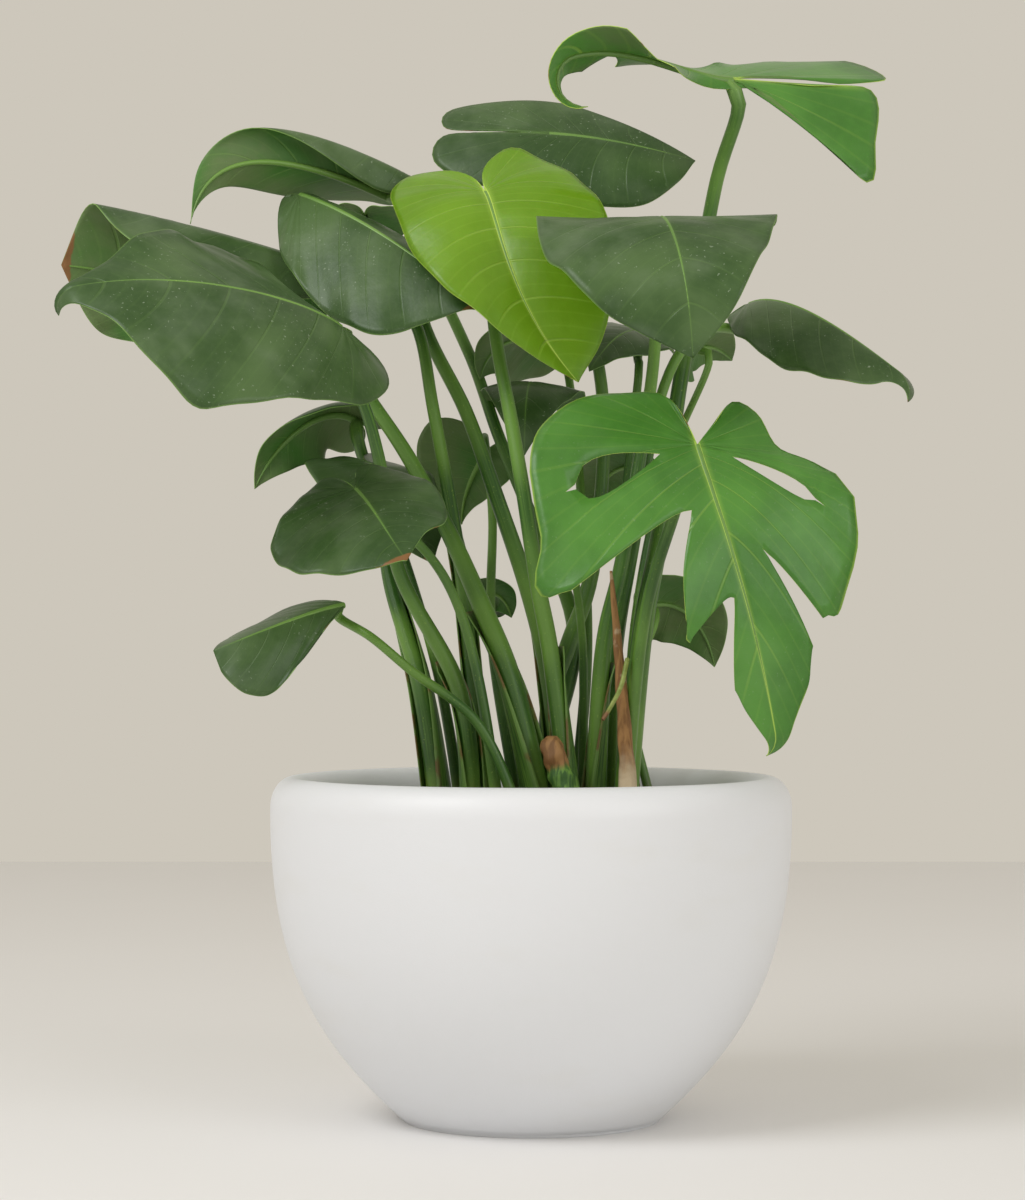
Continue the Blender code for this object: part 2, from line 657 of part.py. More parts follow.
    def fingers(self, side):
        """The grids of one half, one for each finger between its slits."""
        lobe = set(np.linspace(0, FAN_SHARE, LOBE_ROWS + 1)[:-1])
        rows = lobe | {float(self.vein_at(y, side)) for y in self.rib_stations()}
        rows |= {slit[0] for slit in self.slits(side)}
        bounds = [(0, None), *((slit[0], slit) for slit in self.slits(side)), (1, None)]
        s = np.linspace(0, 1, self.spec["columns"] + 1)[None, :]
        for (first, slit_a), (last, slit_b) in zip(bounds, bounds[1:]):
            inner = sorted(t for t in rows if first + 1e-4 < t < last - 1e-4)
            share = (np.array([first, *inner, last])[:, None] - first) / (last - first)
            low, high = first + slit_gap(s, slit_a), last - slit_gap(s, slit_b)
            yield self.point(low + share * (high - low), s + 0 * share, side)


def slit_gap(s, slit):
    """A slit's half width, as a margin share, at share s across the blade."""
    if slit is None:
        return 0 * s
    _, start, end, width = slit
    if end < 1:
        middle, reach = (start + end) / 2, (end - start) / 2
        return width * np.sqrt(np.clip(1 - ((s - middle) / reach) ** 2, 0, 1))
    opened = np.clip((s - start) / (1 - start), 0, 1)
    return width * np.sqrt(opened) * (0.6 + 0.4 * opened)


def add_grid(mesh, grid, side):
    rows = [[mesh.verts.new(point) for point in row] for row in grid]
    for row, following in zip(rows, rows[1:]):
        for i in range(len(row) - 1):
            corners = (row[i], following[i], following[i + 1], row[i + 1])
            mesh.faces.new(corners if side > 0 else corners[::-1])


def blade_object(name, changes, parts):
    """A blade: both halves lofted from midrib to margin, joined, and thickened."""
    blade = Blade(changes)
    mesh = bmesh.new()
    for side in (-1, 1):
        for grid in blade.fingers(side):
            add_grid(mesh, grid, side)
    bmesh.ops.remove_doubles(mesh, verts=mesh.verts, dist=1e-5)
    data = bpy.data.meshes.new(name)
    mesh.to_mesh(data)
    mesh.free()
    data.shade_smooth()
    made = bpy.data.objects.new(name, data)
    thicken = made.modifiers.new("thickness", "SOLIDIFY")
    thicken.thickness = BLADE_THICKNESS
    thicken.offset = 0
    made.data.materials.append(material(name, LEAF_GREENS[blade.spec["colour"]], 0.45))
    parts.objects.link(made)
    return blade


def tube(name, points, radii, where):
    """A tapering tube with closed ends."""
    curve = bpy.data.curves.new(name, "CURVE")
    curve.dimensions = "3D"
    curve.bevel_depth = 1
    curve.bevel_resolution = 1
    curve.use_fill_caps = True
    line = curve.splines.new("POLY")
    line.points.add(len(points) - 1)
    for point, place, radius in zip(line.points, points, radii):
        point.co = (*place, 1)
        point.radius = radius
    made = bpy.data.objects.new(name, curve)
    where.objects.link(made)
    return made


def stalk_route(stalk, blade):
    """The stalk's centre line: up through the soil, along its guides and in under the midrib's start."""
    x, y = stalk["root"]
    top_radius = stalk["radii"][1]
    up, along, start = blade.up[0], blade.along[0], blade.line[0]
    below = 0.6 * top_radius + BLADE_THICKNESS / 2 + GAP
    arrive = start - up * (below + 0.018) - along * 0.006
    end = start - up * below
    rooted = ((x, y, SOIL_EDGE - PLANTING_DEPTH), (x, y, SOIL_EDGE - 0.005), (x, y, SOIL_CROWN + 0.008))
    bend = smooth_through([rooted[-1], *stalk["through"], arrive], np.linspace(0, 1, STALK_POINTS))
    return [*rooted[:-1], *bend, end]


def stalk_radii(stalk, count):
    """Full at the base, quickly thinner above the sheath, and finer still where it meets the blade."""
    base, top = stalk["radii"]
    share = np.linspace(0, 1, count)
    radii = top + (base - top) * (1 - share) ** 1.6
    radii[:2] = base
    radii[-1] = 0.6 * top
    return radii


def turned(name, profile, where):
    """A solid of revolution. Its profile starts and ends on the axis."""
    data = bpy.data.meshes.new(name)
    edges = [(i, i + 1) for i in range(len(profile) - 1)]
    data.from_pydata([(radius, 0, z) for radius, z in profile], edges, [])
    made = bpy.data.objects.new(name, data)
    where.objects.link(made)
    screw = made.modifiers.new("turn", "SCREW")
    screw.steps = POT_STEPS
    screw.render_steps = POT_STEPS
    screw.use_merge_vertices = True
    screw.merge_threshold = 0.0001
    screw.use_smooth_shade = True
    return made


def inner_wall(inset):
    """The planter's inside from its floor's middle up to under the lip, moved inwards by inset."""
    mouth = POT_RADIUS - 2 * LIP_HALF_WIDTH - inset
    floor = POT_FLOOR + inset
    bowl = ((0.085, floor), (0.140, floor + 0.025), (mouth, 0.130), (mouth, SOIL_EDGE))
    rise = bezier(bowl, np.linspace(0, 1, 9))
    return [(0, floor), *(tuple(point) for point in rise)]


def planter_object(parts):
    """A round bowl with a thick rolled lip and a flat underside."""
    lip_centre = POT_RADIUS - LIP_HALF_WIDTH
    lip_foot = POT_HEIGHT - LIP_HEIGHT
    angles = np.linspace(np.pi, 0, 11)
    lip = [(lip_centre + LIP_HALF_WIDTH * np.cos(a), lip_foot + LIP_HEIGHT * np.sin(a)) for a in angles]
    shoulder, knee = (0.201, 0.120), (0.166, 0.062)
    foot = (POT_BASE_RADIUS, 0.003)
    outer = bezier(((POT_RADIUS, lip_foot), shoulder, knee, foot), np.linspace(0, 1, 13)[1:])
    base = [(POT_BASE_RADIUS - 0.003, 0), (0, 0)]
    made = turned("planter", [*inner_wall(0), *lip, *(tuple(point) for point in outer), *base], parts)
    made.data.materials.append(material("planter", WHITE, 0.5))


def soil_object(parts, cutters):
    """The potting mix, gently crowned, with a socket for each stalk."""
    wall = inner_wall(GAP)[::-1]
    crown = [(0, SOIL_CROWN), (0.06, SOIL_CROWN - 0.001), (0.12, SOIL_EDGE + 0.003)]
    made = turned("soil", [*crown, *wall], parts)
    made.data.materials.append(material("soil", SOIL_BROWN, 0.95))
    for cutter in cutters.objects:
        cut = made.modifiers.new(cutter.name, "BOOLEAN")
        cut.operation = "DIFFERENCE"
        cut.object = cutter


def socket_cutter(name, place, radius, cutters):
    """A straight hole in the soil, a little wider and deeper than what stands in it."""
    x, y = place
    low, high = SOIL_EDGE - PLANTING_DEPTH - GAP, SOIL_CROWN + 0.006
    round_radius = (radius + GAP) / np.cos(np.pi / SOCKET_SIDES)
    bpy.ops.mesh.primitive_cylinder_add(vertices=SOCKET_SIDES, radius=round_radius, depth=high - low)
    made = bpy.context.object
    made.name = "socket_" + name
    made.location = (x, y, (low + high) / 2)
    made.hide_render = True
    made.display_type = "WIRE"
    made.users_collection[0].objects.unlink(made)
    cutters.objects.link(made)


def extras(parts, cutters):
    """A cut stump, a dry sheath left by an old leaf, and a thin root that grows from a stalk into the air."""
    for name, spec in (("stump", STUMP), ("old_sheath", OLD_SHEATH)):
        foot = spec["root"]
        route = [(*foot, SOIL_EDGE - PLANTING_DEPTH), (*foot, SOIL_CROWN + 0.006), *spec["through"]]
        made = tube(name, route, np.linspace(*spec["radii"], len(route)), parts)
        made.data.materials.append(material(name, BARK_BROWN, 0.8))
        socket_cutter(name, foot, spec["radii"][0], cutters)
    made = tube("aerial_root", AERIAL_ROOT, [ROOT_RADIUS] * len(AERIAL_ROOT), parts)
    made.data.materials.append(material("aerial_root", ROOT_GREEN, 0.5))


def main():
    clear_scene()
    parts = collection("potted_monstera")
    cutters = collection("cutters")
    for name, changes in LEAVES.items():
        blade = blade_object("leaf_" + name, changes, parts)
        stalk = STALKS[name]
        route = stalk_route(stalk, blade)
        made = tube("stalk_" + name, route, stalk_radii(stalk, len(route)), parts)
        made.data.materials.append(material("stalk_" + name, STALK_GREEN, 0.5))
        socket_cutter(name, stalk["root"], stalk["radii"][0], cutters)
    extras(parts, cutters)
    planter_object(parts)
    soil_object(parts, cutters)


main()
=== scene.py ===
"""Looks of the potted monstera: leaf blades, sheathed stalks, rough potting mix and a smooth white planter.

Metres, +Z up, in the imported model's frame. Each blade is a surface over (t, s): t runs round its margin from
the stalk to the tip, and s from its midrib to its margin.
"""

import bmesh
import bpy
import numpy as np
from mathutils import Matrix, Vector, noise


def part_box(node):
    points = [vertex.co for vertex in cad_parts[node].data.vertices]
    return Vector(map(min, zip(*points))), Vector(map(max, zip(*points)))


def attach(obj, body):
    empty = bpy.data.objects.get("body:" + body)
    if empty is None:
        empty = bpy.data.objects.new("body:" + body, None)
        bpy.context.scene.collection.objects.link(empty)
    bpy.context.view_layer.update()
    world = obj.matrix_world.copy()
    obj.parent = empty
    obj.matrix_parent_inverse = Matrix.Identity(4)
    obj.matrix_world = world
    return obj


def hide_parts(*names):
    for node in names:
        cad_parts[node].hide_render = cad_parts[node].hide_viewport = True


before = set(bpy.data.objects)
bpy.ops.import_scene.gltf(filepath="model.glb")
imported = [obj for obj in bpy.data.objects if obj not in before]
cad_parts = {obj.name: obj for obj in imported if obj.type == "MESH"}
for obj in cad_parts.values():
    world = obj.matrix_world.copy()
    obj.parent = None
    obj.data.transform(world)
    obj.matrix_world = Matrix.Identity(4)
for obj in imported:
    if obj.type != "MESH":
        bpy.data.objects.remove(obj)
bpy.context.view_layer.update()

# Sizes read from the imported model
POT_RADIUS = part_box("planter")[1].x
POT_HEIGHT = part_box("planter")[1].z
SOIL_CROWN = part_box("soil")[1].z

# The planter's section and the soil's edge, as in the CAD
POT_BASE_RADIUS = 0.1015
LIP_HALF_WIDTH = 0.017
LIP_HEIGHT = 0.023
POT_CURVE = ((0.201, 0.120), (0.166, 0.062))  # what bends the wall between the lip and the foot
FOOT_ROUND = 0.003
POT_FLOOR = 0.026
FLOOR_FLAT_RADIUS = 0.085
SOIL_EDGE = 0.222
POT_STEPS = 160

# Blades
BLADE_THICKNESS = 0.0006
RIB_ROWS = 44
LOBE_ROWS = 22
COLUMNS = 18
LOBE_SHARE = 0.45  # the share of the margin that is basal lobe
FAN_SHARE = 0.40  # the share of the margin whose veins all start at the stalk
VEINS = 10  # side veins in each half
QUILTING = 0.007  # how far the blade swells between two veins, as a share of its half width
RIB_HALF_WIDTH = 0.0017  # of the pale line along the midrib, at the stalk

# Stalks
STALK_SIDES = 16
STALK_STEPS = 60
KNUCKLE_LENGTH = 0.022  # the paler, thicker stretch just below the blade
KNUCKLE_SWELL = 0.16  # as a share of the radius
GROOVE_DEPTH = 0.10  # along the stalk's upper side, as a share of the radius
UNDER_RIB_SIDES = 8
UNDER_RIB_STEPS = 30

# Colours
DARK_GREEN = (0.034, 0.080, 0.018)
DUSTY_GREEN = (0.080, 0.145, 0.046)
MID_GREEN = (0.055, 0.175, 0.024)
FRESH_GREEN = (0.090, 0.255, 0.038)
YOUNG_GREEN = (0.130, 0.265, 0.007)
LEMON_GREEN = (0.480, 0.680, 0.110)
UNDER_GREEN = (0.130, 0.195, 0.070)
VEIN_GREEN = (0.200, 0.360, 0.080)
STALK_GREEN = (0.035, 0.115, 0.014)
STALK_PALE = (0.150, 0.310, 0.045)
DRY_BROWN = (0.230, 0.112, 0.038)
CREAM = (0.620, 0.500, 0.330)
DUST = (0.300, 0.370, 0.260)

ROOT_GREEN = (0.220, 0.290, 0.050)
ROOT_PALE = (0.360, 0.430, 0.110)
TAN = (0.380, 0.200, 0.070)
YOUNG_LIGHT = (0.170, 0.330, 0.016)
WHITE = (0.770, 0.785, 0.815)
OFF_WHITE = (0.760, 0.770, 0.785)
SOIL_DARK = (0.018, 0.012, 0.008)
SOIL_BROWN = (0.070, 0.045, 0.028)
BARK_BROWN = (0.180, 0.095, 0.048)
FLOOR_PALE = (0.820, 0.812, 0.808)
FLOOR_PALER = (0.835, 0.827, 0.823)
WALL = (0.610, 0.571, 0.497)
DAYLIGHT = (0.97, 0.98, 1.0)

# The studio; each lamp has its name, place, size and power
LAMPS = (
    ("key", (-1.6, -1.4, 2.3), 1.4, 37),
    ("fill", (1.9, -2.2, 1.3), 1.8, 19),
)
FLOOR_CORNERS = [(-4, -4, 0), (4, -4, 0), (4, 2.70, 0), (-4, 2.70, 0)]
CAMERA_PLACE = (-0.0142, -2.4615, 0.3765)
CAMERA_LENS = 96
CAMERA_RISE = 0.02375  # the lens's shift, as a share of the frame

# The small pieces
TOWARDS_FRONT = np.array([0.0, -1.0, 0.0])
BARK_CHIPS = 420
CHIP_SIZES = (0.0022, 0.0050)
SHEATH_THICKNESS = 0.0009
SHEATH_WRAP = 150  # degrees each way round the stalk, at its foot
OLD_SHEATH_WIDTH = 0.0078  # half of it, at its foot
STUMP_GREEN_END = 0.072  # up the stump, from its foot
STUMP_RADII = (0.0105, 0.0105, 0.0095, 0.0085)
STUMP_KNOBS = 0.28  # how uneven it is, as a share of its radius
STUMP_LINE = ((0.030, -0.062, 0.205), (0.029, -0.062, 0.245), (0.021, -0.060, 0.270), (0.012, -0.058, 0.296))
OLD_SHEATH_LINE = (
    (0.073, -0.070, 0.205), (0.073, -0.070, 0.240), (0.071, -0.064, 0.272), (0.066, -0.048, 0.350),
    (0.060, -0.042, 0.420),
)
ROOT_RADII = (0.0015, 0.0019)
ROOT_KNOBS = 0.10
ROOT_LINE = ((0.053, -0.075, 0.3085), (0.058, -0.072, 0.316), (0.067, -0.064, 0.333), (0.0725, -0.056, 0.355))

PLAIN_LEAF = {
    "colour": "dark",
    "lobe": 0.20,  # how far the lobe runs back past the stalk, as a share of the width
    "belly": 0.17,  # where the blade is widest, as a share of its length
    "full": 0.30,  # how full the blade stays towards its tip
    "left": (0, -20, 0, -20),  # fold and curl in degrees at the stalk, then at the tip; minus is down
    "right": (0, -20, 0, -20),
    "crease": (0, 1),  # the part of the left half, across it, over which its curl is spread
    "back": 10,  # degrees by which the lobe turns down for each blade length behind the stalk
    "drip": (0, 0, 0),  # a long tip: its length, the turn in degrees and how far sideways it turns
    "sweep": (1.3, 1.3),  # how late the veins leave the midrib
    "bow": (0.5, 0.5),  # how much the veins bow towards the stalk
    "ruffle": 0.05,
    "slits_left": (),  # margin share, start and end across the blade, half width
    "slits_right": (),
    "outline_left": (),
    "outline_right": (),
}

# Each blade: its midrib's four control points, the way its upper face looks (at the stalk and at the tip,
# where they differ), the widths of its left and right halves, and what differs from a plain leaf
LEAVES = {
    "front_left": {
        "rib": ((-0.14, -0.1, 0.6), (-0.17, -0.135, 0.62), (-0.255, -0.175, 0.635), (-0.325, -0.185, 0.62)),
        "face": ((0.1, -0.6, 0.8), (0, -0.6, 0.8)), "wide": (0.11, 0.095), "left": (-5, -35, -5, -30),
        "right": (-15, -10, 15, -5), "back": 40, "drip": (0.03, 100, 0),
        "outline_left": (
            (0.005, -0.02), (0.025, -0.04), (0.055, -0.03), (0.075, -0.005), (0.085, 0.03), (0.1, 0.06),
            (0.11, 0.11), (0.105, 0.14), (0.07, 0.175), (0.025, 0.205),
        ),
        "outline_right": (
            (0.005, -0.015), (0.03, -0.03), (0.065, 0), (0.085, 0.05), (0.09, 0.1), (0.06, 0.15),
            (0.015, 0.2),
        ),
    },
    "far_left": {
        "rib": ((-0.17, 0.07, 0.62), (-0.21, 0.035, 0.63), (-0.295, 0.01, 0.65), (-0.36, -0.01, 0.655)),
        "face": (0, 1, 0.1), "wide": (0.105, 0.05), "left": (0, -160, 10, -120), "right": (0, -40, 0, -20),
        "crease": (0.3, 0.62), "back": 20, "lobe": 0.12, "belly": 0.5, "full": 1.3,
    },
    "top_left": {
        "rib": ((-0.11, 0.06, 0.715), (-0.16, 0.03, 0.735), (-0.25, 0, 0.765), (-0.26, -0.02, 0.685)),
        "face": ((0, 1, 0.2), (-0.4, 0.9, 0.1)), "wide": (0.055, 0.04), "left": (0, -160, 10, -100),
        "right": (70, 0, 0, 0), "crease": (0.3, 0.65), "back": 20, "lobe": 0.1, "belly": 0.15, "full": 0,
    },
    "dark_left": {
        "rib": ((-0.18, 0.03, 0.715), (-0.145, 0, 0.7), (-0.09, -0.04, 0.665), (-0.04, -0.065, 0.615)),
        "face": (-0.1, -0.8, 0.5), "wide": (0.05, 0.075), "left": (-40, -50, -30, -30),
        "right": (0, -25, 0, -10), "back": 30, "lobe": 0.03, "belly": 0.35, "full": 0.6,
        "outline_right": (
            (0.01, -0.01), (0.04, 0.01), (0.06, 0.04), (0.075, 0.095), (0.07, 0.155), (0.04, 0.175),
            (0.01, 0.19),
        ),
    },
    "young": {
        "colour": "young",
        "rib": ((-0.035, -0.02, 0.71), (-0.025, -0.05, 0.69), (-0.02, -0.085, 0.62), (0.035, -0.075, 0.56)),
        "face": (0, -0.9, 0.45), "wide": (0.085, 0.075), "left": (18, -45, 10, -20),
        "right": (18, -45, 10, -20),
        "outline_left": (
            (0.005, -0.025), (0.02, -0.04), (0.04, -0.04), (0.07, 0), (0.085, 0.05), (0.075, 0.1),
            (0.06, 0.14), (0.035, 0.17),
        ),
        "outline_right": (
            (0.005, -0.025), (0.03, -0.05), (0.055, -0.05), (0.07, -0.03), (0.07, 0.035), (0.055, 0.08),
            (0.035, 0.11), (0.015, 0.15),
        ),
    },
    "top_back": {
        "rib": ((0.015, 0.08, 0.77), (0.055, 0.075, 0.767), (0.095, 0.07, 0.757), (0.13, 0.06, 0.745)),
        "face": (0, -0.75, 0.65), "wide": (0.045, 0.06), "ruffle": 0, "left": (0, -15, 0, -15),
        "right": (0, -35, 0, -45),
        "outline_left": (
            (0.001, -0.05), (0.005, -0.085), (0.03, -0.085), (0.045, -0.04), (0.045, 0), (0.03, 0.04),
            (0.015, 0.08),
        ),
        "outline_right": (
            (0.001, -0.05), (0.005, -0.085), (0.03, -0.09), (0.05, -0.06), (0.055, -0.02), (0.06, 0.02),
            (0.06, 0.06), (0.05, 0.095), (0.025, 0.115),
        ),
    },
    "dark_right": {
        "rib": ((0.095, -0.06, 0.68), (0.095, -0.1, 0.695), (0.11, -0.2, 0.65), (0.115, -0.17, 0.57)),
        "face": ((0, -0.2, 1), (0, -1, 0.1)), "wide": (0.085, 0.095), "left": (0, -5, 0, -10),
        "right": (0, -5, 0, -10), "back": 20,
        "outline_left": (
            (0.005, -0.01), (0.03, -0.03), (0.065, -0.02), (0.085, 0.01), (0.085, 0.04), (0.07, 0.09),
            (0.05, 0.13), (0.03, 0.16),
        ),
        "outline_right": (
            (0.005, -0.005), (0.03, -0.01), (0.07, -0.005), (0.09, 0.015), (0.095, 0.045), (0.095, 0.08),
            (0.085, 0.11), (0.065, 0.145), (0.035, 0.17),
        ),
    },
    "right": {
        "rib": ((0.17, 0.03, 0.63), (0.195, 0, 0.64), (0.24, -0.04, 0.6), (0.275, -0.06, 0.57)),
        "face": (0.2, -0.6, 0.75), "wide": (0.05, 0.06), "left": (-42, -50, -30, -40),
        "right": (-5, -25, -5, -20), "back": 40, "lobe": 0.05, "belly": 0.3, "full": 0.5,
        "drip": (0.03, 60, 60),
        "outline_right": (
            (0.025, -0.005), (0.055, 0.035), (0.06, 0.08), (0.055, 0.11), (0.045, 0.135), (0.01, 0.165),
        ),
    },
    "split_top": {
        "colour": "mid",
        "rib": ((0.155, 0, 0.8), (0.12, -0.01, 0.8), (0.075, -0.03, 0.825), (0.03, -0.04, 0.81)),
        "face": ((0, -0.05, 1), (0, 0, 1)), "wide": (0.085, 0.08), "left": (-50, -25, 60, 30),
        "right": (25, -10, -30, -40), "back": 3, "sweep": (2.4, 1.6), "drip": (0.06, 170, 0),
        "outline_left": (
            (0.005, -0.06), (0.005, -0.115), (0.05, -0.11), (0.085, -0.1), (0.04, -0.045), (0.01, -0.015),
            (0.015, 0.03), (0.05, 0.07), (0.05, 0.1), (0.02, 0.145),
        ),
        "outline_right": (
            (0.01, -0.04), (0.02, -0.1), (0.035, -0.14), (0.07, -0.125), (0.08, -0.06), (0.055, -0.01),
            (0.06, 0.04), (0.05, 0.09), (0.03, 0.13),
        ),
        "slits_left": ((0.78, 0.25, 1, 0.04),),
        "slits_right": ((0.64, 0.25, 1, 0.05), (0.8, 0.25, 1, 0.04)),
    },
    "split_front": {
        "colour": "mid",
        "rib": ((0.12, -0.14, 0.51), (0.13, -0.17, 0.47), (0.155, -0.19, 0.405), (0.175, -0.16, 0.3)),
        "face": (0.1, -0.95, 0.3), "wide": (0.105, 0.15), "left": (0, -10, 0, -10),
        "right": (5, -15, 5, -10), "back": 20, "sweep": (3, 2.4), "bow": (1.5, 0.35), "drip": (0.02, 60, 50),
        "outline_left": (
            (0.015, -0.015), (0.035, -0.035), (0.05, -0.02), (0.06, 0.01), (0.085, 0.035), (0.1, 0.065),
            (0.09, 0.115), (0.06, 0.16), (0.035, 0.19),
        ),
        "outline_right": (
            (0.01, -0.045), (0.035, -0.06), (0.065, -0.065), (0.105, -0.04), (0.125, 0), (0.13, 0.045),
            (0.14, 0.085), (0.065, 0.125), (0.03, 0.18),
        ),
        "slits_left": ((0.54, 0.25, 0.75, 0.035), (0.77, 0.5, 1, 0.03)),
        "slits_right": ((0.44, 0.25, 0.75, 0.05), (0.68, 0.25, 1, 0.085), (0.83, 0.25, 1, 0.05)),
    },
    "heart_low": {
        "rib": (
            (-0.13, -0.1, 0.48), (-0.115, -0.125, 0.465), (-0.105, -0.15, 0.445), (-0.09, -0.17, 0.425),
        ),
        "face": ((-0.1, -0.6, 0.8), (-0.1, -0.65, 0.75)), "wide": (0.055, 0.08), "back": 5,
        "outline_left": (
            (0.01, -0.02), (0.02, -0.025), (0.04, -0.015), (0.055, 0.025), (0.045, 0.065), (0.02, 0.08),
        ),
        "outline_right": (
            (0.005, -0.02), (0.015, -0.03), (0.03, -0.025), (0.07, 0.005), (0.08, 0.025), (0.075, 0.06),
            (0.06, 0.075), (0.025, 0.09),
        ),
    },
    "low_left": {
        "rib": ((-0.14, -0.06, 0.395), (-0.165, -0.08, 0.39), (-0.205, -0.1, 0.372), (-0.235, -0.1, 0.36)),
        "face": (0.1, -0.85, 0.4), "wide": (0.045, 0.04), "left": (-5, -30, 0, -20),
        "right": (-35, -30, -50, -30), "lobe": 0, "belly": 0.6, "full": 1.3,
        "outline_left": (
            (0.005, 0.005), (0.015, 0.025), (0.03, 0.05), (0.045, 0.08), (0.04, 0.1), (0.02, 0.11),
        ),
    },
    "curled_left": {
        "rib": ((-0.135, 0.08, 0.54), (-0.155, 0.07, 0.56), (-0.195, 0.04, 0.535), (-0.215, 0.03, 0.485)),
        "face": (0.1, 0.7, 0.7), "wide": (0.04, 0.04), "left": (0, -60, 0, -120), "right": (0, -30, 0, -60),
        "back": 20,
    },
    "behind_heart": {
        "rib": ((-0.125, 0.035, 0.505), (-0.115, 0.02, 0.5), (-0.09, 0.005, 0.46), (-0.075, 0, 0.425)),
        "face": (0.3, -0.5, 0.8), "wide": (0.055, 0.055), "lobe": 0.3,
    },
    "pale_mid": {
        "rib": ((-0.035, 0.13, 0.52), (-0.04, 0.13, 0.51), (-0.055, 0.125, 0.49), (-0.055, 0.115, 0.46)),
        "face": (0.3, 1, 0.1), "wide": (0.055, 0.03), "lobe": 0.15, "full": 0.1,
    },
    "small_dark": {
        "rib": ((0.005, 0.09, 0.56), (0, 0.05, 0.585), (-0.005, 0.01, 0.565), (-0.005, 0.01, 0.51)),
        "face": ((0, -0.2, 1), (0, -1, 0.2)), "wide": (0.042, 0.042), "back": 20,
    },
    "back_mid": {
        "rib": ((0.02, 0.14, 0.61), (-0.005, 0.12, 0.615), (-0.035, 0.1, 0.61), (-0.04, 0.09, 0.575)),
        "face": (0, 0.6, 0.7), "wide": (0.05, 0.05),
    },
    "back_right": {
        "rib": ((0.09, 0.06, 0.61), (0.075, 0.04, 0.615), (0.06, 0.02, 0.6), (0.045, 0.01, 0.575)),
        "face": (0, -0.5, 0.8), "wide": (0.038, 0.038),
    },
    "back_small": {
        "rib": ((0.13, 0.12, 0.6), (0.14, 0.13, 0.61), (0.155, 0.14, 0.605), (0.165, 0.15, 0.595)),
        "face": (0, 0.7, 0.7), "wide": (0.03, 0.03),
    },
    "behind_split": {
        "rib": ((0.09, 0.12, 0.505), (0.075, 0.13, 0.515), (0.055, 0.15, 0.5), (0.05, 0.16, 0.475)),
        "face": (0, 0.7, 0.7), "wide": (0.04, 0.04),
    },
    "low_right": {
        "rib": ((0.095, 0.12, 0.395), (0.12, 0.13, 0.405), (0.145, 0.14, 0.38), (0.15, 0.14, 0.345)),
        "face": (0, 0.7, 0.7), "wide": (0.04, 0.04),
    },
    "low_mid": {
        "rib": ((-0.04, 0.1, 0.4), (-0.03, 0.09, 0.41), (-0.02, 0.08, 0.405), (-0.015, 0.08, 0.385)),
        "face": (0, 0.7, 0.7), "wide": (0.025, 0.025),
    },
    "upper_back": {
        "rib": ((-0.135, 0.15, 0.715), (-0.135, 0.17, 0.71), (-0.13, 0.18, 0.695), (-0.125, 0.18, 0.675)),
        "face": (0, 0.7, 0.7), "wide": (0.04, 0.04), "lobe": 0.3,
    },
}

